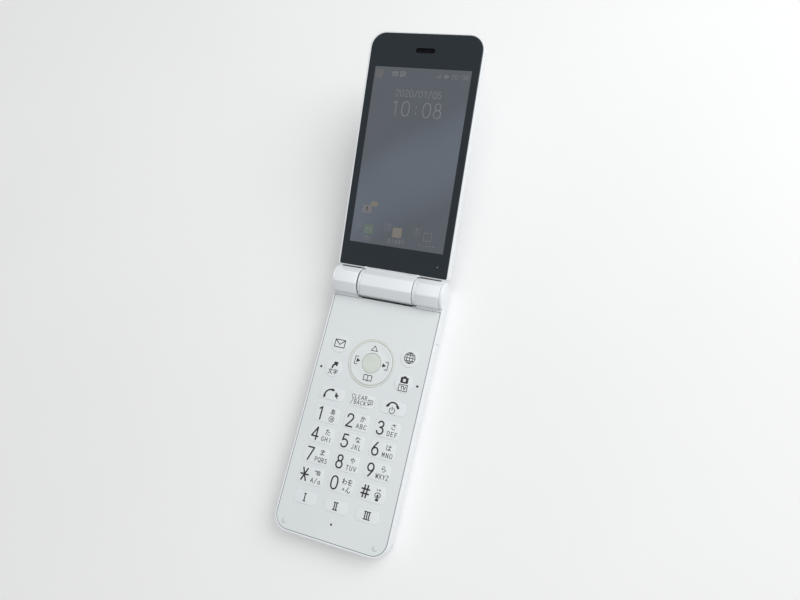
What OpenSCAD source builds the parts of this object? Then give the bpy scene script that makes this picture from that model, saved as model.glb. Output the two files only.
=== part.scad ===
// Folding telephone, open: a keypad half lying on its back and a display half on a three-segment hinge.
// X runs across, Y toward the hinge and Z up from the back face of the keypad half.

/* [Overall] */
// Width of both halves
body_w = 50; // [48:0.5:54]
// Thickness of the keypad half, back face to keypad panel
base_t = 9.4; // [9.2:0.1:10.4]
// Thickness of the display half
lid_t = 7; // [6.6:0.1:8]
// Gap between keypad panel and cover glass when folded
fold_gap = 0.6; // [0.55:0.05:0.9]
// Lean of the open display half from flat, in degrees
lid_lean = 16.6; // [10:0.1:25]
// Corner radius at the free ends
corner_r = 6.85; // [5:0.05:8]
// Edge radius around the back faces
back_r = 2.4; // [1:0.1:3]
// Wall thickness of the shells
wall = 1.2; // [1:0.05:1.4]

/* [Hinge] */
// Axis to the flats of the octagonal hinge
hinge_flat = 5.9; // [5.6:0.05:6.4]
// Height of the hinge axis above the keypad panel
hinge_lift = 1.2; // [1:0.05:1.6]
// Length of the middle barrel, on the display half, as a share of the width
barrel_share = 0.512; // [0.44:0.002:0.56]
// Gap at each end of the middle barrel
barrel_gap = 0.4; // [0.2:0.05:0.6]
// Free space around the turning barrel
channel_gap = 0.2; // [0.15:0.05:0.4]
// Bore through the middle barrel
barrel_bore_r = 4; // [3.6:0.05:4.3]
// End wall thickness of the middle barrel
barrel_end = 1.8; // [1.4:0.1:2.4]
// Radius of the hinge cartridge and of the bush
cartridge_r = 3; // [2.6:0.05:3.1]
// Wall between the hinge cartridge and the end cap
cartridge_wall = 1.6; // [1.2:0.1:4]
// Radius of the hinge shaft
shaft_r = 1.5; // [1.2:0.05:1.8]
// Radial running gap of shaft and bush
running_gap = 0.05; // [0.03:0.01:0.1]
// Bore of the bush for the flat cable
bush_bore_r = 2.2; // [1.9:0.05:2.4]
// Radius of the hinge end caps
cap_r = 3.2; // [2.6:0.05:3.6]
// Thickness of the hinge end caps
cap_t = 0.8; // [0.6:0.05:0.9]

/* [Keypad panel] */
// Length of the keypad panel
panel_len = 99.4; // [97:0.1:104]
// Thickness of the keypad panel
panel_t = 0.8; // [0.7:0.05:0.9]
// Width of the rim around the keypad panel
rim_w = 0.77; // [0.6:0.01:1.1]
// Seam around panels, glass and covers
seam = 0.08; // [0.05:0.01:0.15]
// Ledge under the panel edge
ledge_w = 2; // [1.6:0.1:2.2]

/* [Keys] */
// Rise of the key crowns above the panel
key_rise = 0.25; // [0.15:0.01:0.3]
// Travel of a key
key_travel = 0.3; // [0.2:0.01:0.35]
// Gap around a key
key_gap = 0.13; // [0.1:0.01:0.2]
// Overhang of the flange under the panel
flange_w = 0.4; // [0.3:0.05:0.5]
// Column pitch of the number keys, as a share of the width
column_share = 0.27; // [0.264:0.002:0.276]
// Row pitch of the number keys, as a share of the panel length
row_share = 0.08521; // [0.0835:0.0001:0.088]
// Panel left between two columns of number keys
land_x = 2.3; // [1.9:0.1:3]
// Panel left between two rows of number keys
land_y = 1.47; // [1.4:0.01:2]
// Corner radius of the number keys
key_r = 1.6; // [1:0.1:2]
// Panel edge to the first number row, as a share of the panel length
row_one_at = 0.5171; // [0.513:0.0001:0.522]
// Length of the call, clear and end keys
call_l = 5.6; // [5:0.1:6]
// Panel edge to the call row, as a share of the panel length
call_row_at = 0.42757; // [0.425:0.0001:0.43]
// Width of the memory keys
memory_w = 10.2; // [9.6:0.1:11]
// Length of the memory keys
memory_l = 5; // [4.4:0.1:5.4]
// Panel edge to the memory row, as a share of the panel length
memory_row_at = 0.86016; // [0.857:0.0001:0.865]
// Radius of the round function keys
round_r = 3.9; // [3.6:0.05:4]
// Distance of the round keys from the middle line, as a share of the width
round_share = 0.317; // [0.312:0.001:0.32]
// Panel edge to the upper round keys, as a share of the panel length
round_a_at = 0.21328; // [0.211:0.0001:0.217]
// Panel edge to the lower round keys, as a share of the panel length
round_b_at = 0.32093; // [0.318:0.0001:0.324]
// Panel edge to the middle of the four-way key, as a share of the panel length
nav_row_at = 0.26811; // [0.2655:0.0001:0.2705]
// Outer radius of the trim ring of the four-way key
trim_r = 10.2; // [10:0.05:10.4]
// Outer radius of the four-way key
nav_r = 9.2; // [8.9:0.05:9.3]
// Radius of the select key
select_r = 4.05; // [3.8:0.05:4.2]
// Rocking angle of the four-way key, in degrees
nav_rock = 1.3; // [1:0.1:1.5]
// Length of the side key
side_l = 9.8; // [8:0.1:11]
// Height of the side key
side_h = 2.9; // [2.4:0.1:3]
// Panel edge to the middle of the side key
side_row = 8; // [7.6:0.1:9]
// Travel of the side key
side_travel = 0.35; // [0.2:0.05:0.4]

/* [Inside the keypad half] */
// Thickness of the main board
board_t = 0.8; // [0.6:0.05:0.9]
// Thickness of the dome film
film_t = 0.15; // [0.1:0.01:0.2]
// Height of a dome
dome_h = 0.3; // [0.25:0.01:0.35]
// Side of the case to the battery
battery_side = 8; // [7.5:0.1:9.5]
// Free edge of the panel to the battery bay
battery_foot = 16.5; // [15:0.5:18]
// Hinge edge of the panel to the battery bay
battery_head = 28.7; // [28:0.1:32]
// Thickness of the battery cover
cover_t = 0.9; // [0.8:0.05:1]
// Radius of the case screw bosses
boss_r = 1.5; // [1.35:0.05:1.6]
// Radius of the screw shanks
screw_r = 0.7; // [0.6:0.05:0.8]
// Radius of the camera window
lens_r = 3.6; // [3:0.1:4]
// Radius of the strap hole
strap_r = 0.9; // [0.7:0.05:1]

/* [Display half] */
// Thickness of the cover glass
glass_t = 0.9; // [0.8:0.05:1]
// Width of the rim beside the glass
lid_rim = 0.62; // [0.5:0.01:0.9]
// Width of the lip below the glass
lid_lip = 0.42; // [0.35:0.01:0.7]
// Clearance between the lip and the knuckle ridges
lip_gap = 0.15; // [0.1:0.01:0.3]
// Glass edge to the lit area of the display, at each side
screen_side = 3.15; // [2.8:0.05:4]
// Glass edge to the lit area, free end
screen_head = 14.1; // [13:0.1:16]
// Glass edge to the lit area, hinge side
screen_gap = 10.2; // [10:0.1:11]
// Length of the earpiece slot
slot_l = 8.45; // [7:0.05:10]
// Width of the earpiece slot
slot_w = 2; // [1.6:0.05:2.4]
// Glass edge to the earpiece slot, free end
slot_head = 6.8; // [6.2:0.1:7.2]

/* [Hidden] */
$fn = 64;
over = 1;

// Hinge values
octagon_r = hinge_flat / cos(22.5);
ridge_r = 1.068 * hinge_flat;
channel_r = ridge_r + channel_gap;
sill_strip = 0.4;
hinge_setback = channel_r + sill_strip;
end_chamfer = 1;
end_step = 0.2;
seat_gap = 0.02;
half_w = body_w / 2;
barrel_half = barrel_share * half_w;
knuckle_x = barrel_half + barrel_gap;
cartridge_len = half_w - cap_t - cartridge_wall - knuckle_x;
cartridge_floor = 2.4;
shaft_tail = cartridge_len - cartridge_floor;
square_w = 1.3 * shaft_r;
bush_tail = 5;

// Plan of the keypad half
base_margin = rim_w + seam;
body_len = base_margin + panel_len + hinge_setback + hinge_flat;
free_y = -body_len / 2;
hinge_y = body_len / 2 - hinge_flat;
case_y1 = body_len / 2 - end_step;
hinge_z = base_t + hinge_lift;
panel_y1 = hinge_y - hinge_setback;
panel_y0 = panel_y1 - panel_len;
panel_w = body_w - 2 * base_margin;
panel_corner = corner_r - base_margin;
panel_small = 0.8;
hinge_end_r = 1;
rim_edge = 0.3;
inner_half = half_w - wall;

// Heights of the keypad half, from the panel down
panel_z0 = base_t - panel_t;
slip = 0.05;
flange_t = 0.5;
flange_z1 = panel_z0 - slip;
flange_z0 = flange_z1 - flange_t;
nub_l = 0.85;
nub_r = 1.2;
nub_z = flange_z0 - nub_l;
dome_z = nub_z - key_travel - slip;
film_z1 = dome_z - dome_h;
film_z0 = film_z1 - film_t;
board_z1 = film_z0;
board_z0 = board_z1 - board_t;
bay_gap = 0.1;
bay_roof_t = 0.4;
bay_z1 = board_z0 - bay_gap - bay_roof_t;
split_step = 0.25;
split_z = film_z1 + split_step;
cover_seat = cover_t + slip;
crown_z = base_t + key_rise;
crown_r = 84;
dome_r = 2;
dome_room = 0.6;

// Rows and columns of keys
key_pitch_x = column_share * body_w;
key_pitch_y = row_share * panel_len;
key_w = key_pitch_x - land_x;
key_l = key_pitch_y - land_y;
columns = [-key_pitch_x, 0, key_pitch_x];
spread = 0.1;
call_x = key_pitch_x + spread;
memory_x = key_pitch_x + 2 * spread;
round_x = round_share * body_w;
row_one = row_one_at * panel_len;
call_row = call_row_at * panel_len;
memory_row = memory_row_at * panel_len;
round_row_a = round_a_at * panel_len;
round_row_b = round_b_at * panel_len;
nav_y = panel_y1 - nav_row_at * panel_len;
crown_reach = 2 * key_l;
film_lap = 1;
film_y0 = panel_y1 - memory_row - dome_r - film_lap;

// Four-way key heights
trim_gap = 0.14;
trim_in_r = nav_r + trim_gap;
rock_both = sqrt(2) * nav_rock;
trim_lip_t = 0.35;
trim_z0 = flange_z1 - trim_lip_t;
trim_lip = 0.7;
trim_lip_r = trim_r + trim_lip;
nav_flange = 0.6;
nav_flange_r = nav_r + nav_flange;
nav_flange_t = 0.4;
nav_flange_z1 = trim_z0 - nav_flange_r * sin(rock_both) - slip;
nav_z0 = nav_flange_z1 - nav_flange_t;
select_gap = 0.22;
nav_bore_r = select_r + select_gap;
carrier_gap = 0.9;
carrier_w = 1.1;
carrier_in = select_r + carrier_gap;
carrier_out = carrier_in + carrier_w;
carrier_t = 0.3;
carrier_z1 = nav_z0 - carrier_out * sin(nav_rock) - slip;
carrier_z0 = carrier_z1 - carrier_t;
nav_foot_at = 7.7;
nav_foot_r = 0.6;
nav_foot_z = dome_z + nav_foot_at * sin(nav_rock) + slip;
select_lap = 0.55;
select_flange_r = select_r + select_lap;
select_flange_t = 0.3;
select_room = 0.2;
select_flange_z1 = nav_z0 - select_room;
select_flange_z0 = select_flange_z1 - select_flange_t;

// Screw bosses and the main board
boss_inset = 1.1;
boss_x = inner_half - boss_r - boss_inset;
boss_y_hinge = panel_y1 - (round_row_a + round_row_b) / 2;
boss_foot = 8.5;
boss_y_free = panel_y0 + boss_foot;
board_side = 0.8;
board_foot = 1.6;
board_head = 0.5;
board_half = boss_x - boss_r - board_side;
board_y0 = panel_y0 + board_foot;
cavity_y1 = hinge_y - channel_r - wall;
board_y1 = cavity_y1 - board_head;
head_r = 1.8 * screw_r;
head_t = 0.7;

// Battery bay and cover
bay_y0 = panel_y0 + battery_foot;
bay_y1 = panel_y1 - battery_head;
battery_half = half_w - battery_side;
bay_half = battery_half + bay_gap;
bay_wall = 1;
cover_rim = 2.2;
cover_lap = 1.5;
cover_half = half_w - cover_rim;
cover_y0 = free_y + cover_rim;
cover_y1 = max(bay_y1 + 2 * cover_lap, boss_y_hinge + boss_r + cover_lap);
cover_r = corner_r - cover_rim;
cover_end_r = 2;
floor_t = 0.95;
floor_z = cover_seat + floor_t;
head_z = cover_seat + head_t + slip;

// Pieces near the hinge and the free end
top_zone_y = (cover_y1 + wall + cavity_y1) / 2;
lens_x = -key_pitch_x;
lens_y = top_zone_y;
lens_rim = 0.9;
lens_step = 0.6;
lens_sight = 0.8;
lens_gap = 0.2;
window_t = 0.8;
camera_w = 8.6;
speaker_w = 0.28 * body_w;
speaker_l = 11;
speaker_x = 0.21 * body_w;
grille_w = 6;
grille_slot = 0.6;
grille_pitch = 1.5;
can_w = 0.22 * body_w;
can_x = -0.052 * body_w;
can_l = 16;
can_t = 1.3;
motor_r = 4;
motor_t = 2.7;
motor_x = key_pitch_x;
motor_foot = 8.2;
motor_y = panel_y0 + motor_foot;
socket_w = 7.5;
socket_h = 2.6;
socket_d = 5.6;
socket_shell = 0.3;
socket_inset = 0.35;
socket_y0 = free_y + socket_inset;
socket_z1 = board_z0;
socket_room = 0.1;
tongue_w = 3.8;
tongue_t = 0.6;
tongue_inset = 0.8;
mic_foot = 6.7;
mic_y = panel_y0 + mic_foot;
mic_w = 4;
mic_l = 3;
mic_hole_r = 0.5;
pad_r = 1;
pad_rise = 0.45;
pad_side = 5.15;
pad_x = half_w - pad_side;
pad_foot = 3.05;
pad_y = panel_y0 + pad_foot;
pad_depth = 0.4;
side_y = panel_y1 - side_row;
side_z1 = split_z - key_gap;
side_z0 = side_z1 - side_h;
side_proud = 0.3;
side_flange = 0.9;
side_lap = 0.6;
side_in_x = inner_half - slip - side_flange;
switch_x = side_in_x - side_travel - slip;
switch_w = 3.6;
switch_h = 1.6;
switch_inset = 0.4;
tab_w = 5.2;
tab_inset = 0.6;
strap_wall = 1.35;
strap_at = corner_r - strap_r - strap_wall;
strap_c = [-half_w + corner_r, free_y + corner_r];
strap_p = strap_c - strap_at * [sqrt(0.5), sqrt(0.5)];
strap_z = (floor_z + split_z) / 2;

// Display half, in its own frame: v from the hinge axis, h up from the axis
glass_h = hinge_lift - fold_gap;
lip_v = ridge_r + lip_gap;
lid_v1 = hinge_y - free_y;
glass_v0 = lip_v + lid_lip + seam;
glass_v1 = lid_v1 - lid_rim - seam;
glass_half = half_w - lid_rim - seam;
glass_corner = corner_r - lid_rim - seam;
lid_small_r = 1.2;
bezel_t = 2.4;
lid_split = glass_h - bezel_t;
lid_back = glass_h - lid_t;
lid_floor = lid_back + wall;
glass_back = glass_h - glass_t;
lcd_side = 1;
lcd_low = 2.6;
lcd_high = 1.7;
lcd_t = 1.4;
lcd_h1 = glass_back - slip;
screen_v0 = glass_v0 + screen_gap;
screen_v1 = glass_v1 - screen_head;
lcd_v0 = screen_v0 - lcd_low;
lcd_v1 = screen_v1 + lcd_high;
lcd_half = glass_half - screen_side + lcd_side;
lcd_gap = 0.15;
tray_t = 0.5;
tray_h1 = lid_split - slip;
tray_low = 1.6;
tray_high = 2;
tray_side = 0.5;
tray_v0 = lcd_v0 - tray_low;
tray_v1 = lcd_v1 + tray_high;
tray_half = inner_half - tray_side;
cable_t = 0.15;
cable_h = tray_h1 - tray_t - slip;
lid_board_h = cable_h - cable_t;
lid_board_t = 0.8;
lid_board_inset = 0.8;
lid_board_v0 = tray_v0 + lid_board_inset;
lid_board_l = 22;
lid_board_side = 7;
lid_board_half = half_w - lid_board_side;
slot_v = glass_v1 - slot_head;
mesh_t = 0.5;
receiver_w = 12;
receiver_l = 5.4;
receiver_t = 2.4;
lamp_side = 5.3;
lamp_x = half_w - lamp_side;
lamp_low = 4.5;
lamp_v = glass_v0 + lamp_low;
lamp_r = 0.5;
lid_screw_side = 8.2;
lid_screw_low = 3.1;
lid_screw_head = 6.2;
lid_screw_x = half_w - lid_screw_side;
lid_screw_v = [glass_v0 + lid_screw_low, glass_v1 - lid_screw_head];
lid_boss_wall = 0.9;
lid_boss_r = screw_r + lid_boss_wall;
lid_head_t = 0.6;
lid_screw_l = 3;
neck_inset = 0.2;
neck_half = barrel_half - neck_inset;
neck_v0 = 3.6;
neck_v1 = glass_v0 - seam;
neck_h0 = -4.4;
neck_h1 = glass_h - slip;
window_v = 41;
window_w = 0.52 * body_w;
window_l = 9;
window_r = 2;
sight = 1.2;

// Flat cable
coil_side = 4;
coil_half = barrel_half - barrel_end - coil_side;
coil_in = 2.5;
coil_out = 3.6;
coil_turns = 2;
coil_steps = 48;
coil_start = 40;
coil_lap = 3;
tail_w = 3;
tail_t = 0.2;
tail_inset = 1.2;
tail_x0 = barrel_half - barrel_end - tail_inset;
tail_out = 0.6;
tail_x1 = knuckle_x + bush_tail + tail_out;
tail_low = hinge_z - cartridge_r - seat_gap - 2 * tail_t;
tail_slot_gap = 0.3;
tail_drop = 1.4;
plug_l = 2.6;
tail_y0 = board_y1 - plug_l;

WHITE = [0.93, 0.94, 0.94];
PANEL = [0.87, 0.89, 0.90];
GREY = [0.55, 0.58, 0.58];
DARK = [0.12, 0.13, 0.14];
METAL = [0.72, 0.73, 0.74];
GREEN = [0.10, 0.36, 0.22];
GOLD = [0.80, 0.62, 0.25];

// Name, x, distance from the panel edge, width, length and corner radius of each rectangular key
RECT_KEYS = [
    ["key_1", columns[0], row_one, key_w, key_l, key_r],
    ["key_2", columns[1], row_one, key_w, key_l, key_r],
    ["key_3", columns[2], row_one, key_w, key_l, key_r],
    ["key_4", columns[0], row_one + key_pitch_y, key_w, key_l, key_r],
    ["key_5", columns[1], row_one + key_pitch_y, key_w, key_l, key_r],
    ["key_6", columns[2], row_one + key_pitch_y, key_w, key_l, key_r],
    ["key_7", columns[0], row_one + 2 * key_pitch_y, key_w, key_l, key_r],
    ["key_8", columns[1], row_one + 2 * key_pitch_y, key_w, key_l, key_r],
    ["key_9", columns[2], row_one + 2 * key_pitch_y, key_w, key_l, key_r],
    ["key_star", columns[0], row_one + 3 * key_pitch_y, key_w, key_l, key_r],
    ["key_0", columns[1], row_one + 3 * key_pitch_y, key_w, key_l, key_r],
    ["key_hash", columns[2], row_one + 3 * key_pitch_y, key_w, key_l, key_r],
    ["key_call", -call_x, call_row, key_w, call_l, key_r],
    ["key_clear", 0, call_row, key_w, call_l, key_r],
    ["key_end", call_x, call_row, key_w, call_l, key_r],
    ["key_memory_1", -memory_x, memory_row, memory_w, memory_l, key_r],
    ["key_memory_2", 0, memory_row, memory_w, memory_l, key_r],
    ["key_memory_3", memory_x, memory_row, memory_w, memory_l, key_r]
];

// Name, x and distance from the panel edge of each round key
ROUND_KEYS = [
    ["key_mail", -round_x, round_row_a],
    ["key_web", round_x, round_row_a],
    ["key_text", -round_x, round_row_b],
    ["key_camera", round_x, round_row_b]
];

// A plate outline from y0 to y1 with corner radius r0 at y0 and r1 at y1
module plate2d(w, y0, y1, r0, r1) {
    translate([-w / 2, y0 + r0])
        square([w, y1 - y0 - r0 - r1]);
    translate([-w / 2 + r0, y0])
        square([w - 2 * r0, y1 - y0 - r1]);
    translate([-w / 2 + r1, y0 + r0])
        square([w - 2 * r1, y1 - y0 - r0]);
    for (s = [-1, 1]) {
        translate([s * (w / 2 - r0), y0 + r0])
            circle(r0);
        translate([s * (w / 2 - r1), y1 - r1])
            circle(r1);
    }
}

module slab(w, y0, y1, r0, r1, z0, z1) {
    translate([0, 0, z0])
        linear_extrude(z1 - z0)
            plate2d(w, y0, y1, r0, r1);
}

// A box given by its two opposite corners
module block(a, b) {
    translate(a)
        cube(b - a);
}

// A round bar along X at the hinge axis
module axis_bar(r, x0, x1) {
    translate([x0, 0, 0])
        rotate([0, 90, 0])
            cylinder(r = r, h = x1 - x0);
}

// The octagon of the hinge, its ridges softened to a round
module hinge_prism(x0, x1) {
    intersection() {
        translate([x0, 0, 0])
            rotate([0, 90, 0])
                rotate([0, 0, 22.5])
                    cylinder(r = octagon_r, h = x1 - x0, $fn = 8);
        axis_bar(ridge_r, x0, x1);
    }
}

module at_hinge() {
    translate([0, hinge_y, hinge_z])
        children();
}

module on_lid() {
    translate([0, hinge_y, hinge_z])
        rotate([lid_lean, 0, 0])
            children();
}

// A shell form with edge radius low_r below and high_r above, and plan corners r0 at y0 and r1 at y1
module shell_form(y0, y1, r0, r1, z0, z1, low_r, high_r) {
    difference() {
        intersection() {
            translate([0, y1 + over, 0])
                rotate([90, 0, 0])
                    linear_extrude(y1 - y0 + 2 * over)
                        plate2d(body_w, z0, z1, low_r, high_r);
            translate([-half_w - over, (y0 + y1) / 2, 0])
                rotate([90, 0, 90])
                    linear_extrude(body_w + 2 * over)
                        plate2d(y1 - y0, z0, z1, low_r, high_r);
        }
        for (s = [0, 1])
            mirror([s, 0, 0]) {
                translate([half_w, y0, z0 - over])
                    corner_cut(r0, z1 - z0 + 2 * over);
                translate([half_w, y1, z0 - over])
                    mirror([0, 1, 0])
                        corner_cut(r1, z1 - z0 + 2 * over);
            }
    }
}

// What a rounded corner leaves out of a square one at the origin
module corner_cut(r, h) {
    difference() {
        translate([-r, -over, 0])
            cube([r + over, r + over, h]);
        translate([-r, r, -over])
            cylinder(r = r, h = h + 2 * over);
    }
}

module base_form() {
    shell_form(free_y, case_y1, corner_r, hinge_end_r, 0, base_t, back_r, rim_edge);
}

// One knuckle from the middle gap to the right side, chamfered at its outer end
module knuckle() {
    flare = ridge_r - hinge_flat + end_chamfer;
    at_hinge()
        intersection() {
            hinge_prism(knuckle_x, half_w);
            union() {
                axis_bar(ridge_r, knuckle_x, half_w - flare);
                translate([half_w - flare, 0, 0])
                    rotate([0, 90, 0])
                        cylinder(r1 = ridge_r, r2 = ridge_r - flare, h = flare);
            }
        }
}

// Room for the middle barrel and the neck of the display half
module barrel_channel() {
    at_hinge() {
        axis_bar(channel_r, -knuckle_x, knuckle_x);
        block([-knuckle_x, 0, -channel_r], [knuckle_x, hinge_flat + over, channel_r]);
        block([-knuckle_x, -channel_r, 0], [knuckle_x, hinge_flat + over, channel_r]);
    }
}

module above(z) {
    block([-body_w, -body_len, z], [body_w, body_len, z + 4 * base_t]);
}

module boss_places() {
    for (x = [-boss_x, boss_x])
        for (y = [boss_y_free, boss_y_hinge])
            translate([x, y, 0])
                children();
}

// Upper shell of the keypad half, with both knuckles
module front_case() {
    color(WHITE)
        difference() {
            union() {
                difference() {
                    intersection() {
                        union() {
                            base_form();
                            knuckle();
                            mirror([1, 0, 0])
                                knuckle();
                        }
                        above(split_z);
                    }
                    slab(panel_w - 2 * ledge_w, panel_y0 + ledge_w, panel_y1 - ledge_w,
                        panel_corner - ledge_w, panel_small, split_z - over, base_t + over);
                }
                boss_places()
                    translate([0, 0, split_z])
                        cylinder(r = boss_r, h = panel_z0 - split_z);
            }
            slab(panel_w + 2 * seam, panel_y0 - seam, panel_y1 + seam,
                panel_corner + seam, panel_small, panel_z0, base_t + over);
            barrel_channel();
            at_hinge() {
                axis_bar(cartridge_r + seat_gap, -knuckle_x - cartridge_len - slip, -knuckle_x + over);
                axis_bar(cartridge_r + seat_gap, knuckle_x - over, tail_x1 + tail_slot_gap);
                axis_bar(cap_r + seat_gap, -half_w - over, -half_w + cap_t + slip);
                axis_bar(cap_r + seat_gap, half_w - cap_t - slip, half_w + over);
            }
            cable_slot();
            boss_places()
                translate([0, 0, split_z - over])
                    cylinder(r = screw_r + seat_gap, h = panel_z0 - split_z);
        }
}

// Way of the flat cable from the knuckle bore to the main board
module cable_slot() {
    block([tail_x1 - tail_drop - tail_slot_gap, hinge_y - tail_w / 2 - tail_slot_gap,
            tail_low - tail_slot_gap],
        [tail_x1 + tail_slot_gap, hinge_y + tail_w / 2 + tail_slot_gap, hinge_z]);
    block([tail_x1 - tail_w - tail_slot_gap, panel_y1 - ledge_w - over, tail_low - tail_slot_gap],
        [tail_x1 + tail_slot_gap, hinge_y, tail_low + tail_t + tail_slot_gap]);
}

// Lower shell of the keypad half, with the battery bay and the cover seat
module rear_case() {
    color(WHITE)
        difference() {
            union() {
                difference() {
                    intersection() {
                        base_form();
                        block([-half_w, free_y, 0], [half_w, body_len / 2, split_z]);
                    }
                    slab(2 * inner_half, free_y + wall, cover_y1 + seam, corner_r - wall, hinge_end_r,
                        floor_z, split_z + over);
                    slab(2 * inner_half, cover_y1 + wall, cavity_y1, hinge_end_r, hinge_end_r,
                        wall, split_z + over);
                    block([-inner_half, cover_y1, floor_z],
                        [inner_half, cover_y1 + 2 * wall, split_z + over]);
                }
                block([-bay_half - bay_wall, bay_y0 - bay_wall, cover_seat],
                    [bay_half + bay_wall, bay_y1 + bay_wall, bay_z1 + bay_roof_t]);
                boss_places()
                    translate([0, 0, cover_seat])
                        cylinder(r = boss_r, h = split_z - cover_seat);
                strap_corner();
                camera_seat();
            }
            slab(2 * (cover_half + seam), cover_y0 - seam, cover_y1 + seam, cover_r + seam, cover_end_r,
                -over, cover_seat);
            block([-bay_half, bay_y0, 0], [bay_half, bay_y1, bay_z1]);
            barrel_channel();
            boss_places() {
                cylinder(r = head_r + seat_gap, h = head_z);
                cylinder(r = screw_r + slip, h = split_z + over);
            }
            translate([lens_x, lens_y, -over])
                cylinder(r = lens_r + seat_gap, h = over + window_t + slip);
            translate([lens_x, lens_y, 0])
                cylinder(r = lens_r - lens_sight, h = wall + 2 * over);
            speaker_slots();
            block([half_w - 2 * wall, side_y - side_l / 2 - key_gap, side_z0 - key_gap],
                [half_w + over, side_y + side_l / 2 + key_gap, split_z + over]);
            socket_mouth();
            translate([strap_p[0], strap_p[1], strap_z])
                rotate([0, 90, -45])
                    cylinder(r = strap_r, h = 4 * corner_r, center = true);
        }
}

// Solid corner that carries the strap hole
module strap_corner() {
    intersection() {
        slab(2 * inner_half + wall, free_y + wall / 2, 0, corner_r - wall / 2, hinge_end_r,
            floor_z - floor_t / 2, split_z);
        strap_block(0, floor_z - floor_t / 2);
    }
}

// Corner region cut off at 45 degrees, from height z0 up
module strap_block(gap, z0) {
    translate([strap_c[0], strap_c[1], 0])
        rotate([0, 0, 45])
            block([-2 * corner_r, -2 * corner_r, z0],
                [-strap_at + strap_r + bay_wall + gap, 2 * corner_r, split_z]);
}

// Ring around the camera window
module camera_seat() {
    translate([lens_x, lens_y, 0])
        cylinder(r = lens_r + lens_rim, h = wall + lens_step);
}

module speaker_slots() {
    for (i = [-2:2])
        translate([speaker_x, top_zone_y + grille_pitch * i, -over])
            linear_extrude(wall + 2 * over)
                square([grille_w, grille_slot], center = true);
}

module socket_mouth() {
    translate([0, free_y - over, socket_z1 - socket_h / 2 - slip])
        rotate([-90, 0, 0])
            linear_extrude(over + wall + socket_inset)
                square([socket_w + 2 * socket_room, socket_h + 2 * socket_room], center = true);
}

// Cover over the battery bay, held by its snug fit
module battery_cover() {
    color(WHITE)
        slab(2 * cover_half, cover_y0, cover_y1, cover_r, cover_end_r, 0, cover_t);
}

// Flat faceplate that the keys come through
module keypad_panel() {
    color(PANEL)
        translate([0, 0, panel_z0])
            difference() {
                linear_extrude(panel_t)
                    difference() {
                        plate2d(panel_w, panel_y0, panel_y1, panel_corner, panel_small);
                        for (k = RECT_KEYS)
                            translate([k[1], panel_y1 - k[2]])
                                plate2d(k[3] + 2 * key_gap, -k[4] / 2 - key_gap, k[4] / 2 + key_gap,
                                    k[5] + key_gap, k[5] + key_gap);
                        for (k = ROUND_KEYS)
                            translate([k[1], panel_y1 - k[2]])
                                circle(round_r + key_gap);
                        translate([0, nav_y])
                            circle(trim_r + seat_gap);
                        translate([0, mic_y])
                            circle(mic_hole_r);
                    }
                for (s = [-1, 1])
                    translate([s * pad_x, pad_y, panel_t - pad_depth])
                        cylinder(r = pad_r + seat_gap, h = over);
            }
}

// Soft pads that the folded display half comes to rest above
module cushion_pads() {
    color(GREY)
        for (s = [-1, 1])
            translate([s * pad_x, pad_y, base_t - pad_depth])
                cylinder(r = pad_r, h = pad_depth + pad_rise);
}

module battery_pack() {
    color(DARK)
        block([-battery_half, bay_y0 + bay_gap, cover_t + bay_gap],
            [battery_half, bay_y1 - bay_gap, bay_z1 - bay_gap]);
}

// Board with the side switch under its tab
module main_board() {
    color(GREEN) {
        difference() {
            block([-board_half, board_y0, board_z0], [board_half, board_y1, board_z1]);
            strap_block(seam, 0);
        }
        block([board_half - over, side_y - tab_w / 2, board_z0],
            [switch_x - tab_inset, side_y + tab_w / 2, board_z1]);
        block([board_half + switch_inset, side_y - switch_w / 2, board_z0 - switch_h],
            [switch_x, side_y + switch_w / 2, board_z0]);
        block([tail_x1 - tail_w, tail_y0, board_z1],
            [tail_x1, panel_y1 - ledge_w - key_gap, tail_low - seat_gap]);
    }
}

// Film with one dome under each key
module dome_sheet() {
    color(METAL) {
        block([-board_half, film_y0, film_z0 + seat_gap], [board_half, nav_y + trim_lip_r, film_z1]);
        for (k = RECT_KEYS)
            dome(k[1], panel_y1 - k[2]);
        for (k = ROUND_KEYS)
            dome(k[1], panel_y1 - k[2]);
        dome(0, nav_y);
        for (a = [0:90:270])
            dome(nav_foot_at * cos(a), nav_y + nav_foot_at * sin(a), 0.8);
    }
}

module dome(x, y, share = 1) {
    translate([x, y, film_z1 - seat_gap])
        cylinder(r1 = share * dome_r, r2 = 0.6 * share * dome_r, h = dome_h + seat_gap);
}

module shield_can() {
    color(METAL)
        block([can_x - can_w / 2, top_zone_y - can_l / 2, board_z0 - can_t],
            [can_x + can_w / 2, top_zone_y + can_l / 2, board_z0]);
}

// Speaker box standing on the back wall behind its slots
module loudspeaker() {
    color(DARK)
        block([speaker_x - speaker_w / 2, top_zone_y - speaker_l / 2, wall],
            [speaker_x + speaker_w / 2, top_zone_y + speaker_l / 2, board_z0 - bay_gap]);
}

module vibration_motor() {
    color(METAL)
        translate([motor_x, motor_y, board_z0 - motor_t])
            cylinder(r = motor_r, h = motor_t);
}

// Microphone in its boot between board and panel
module microphone() {
    color(DARK)
        translate([0, mic_y, (board_z1 + panel_z0) / 2])
            cube([mic_w, mic_l, panel_z0 - board_z1], center = true);
}

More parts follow.
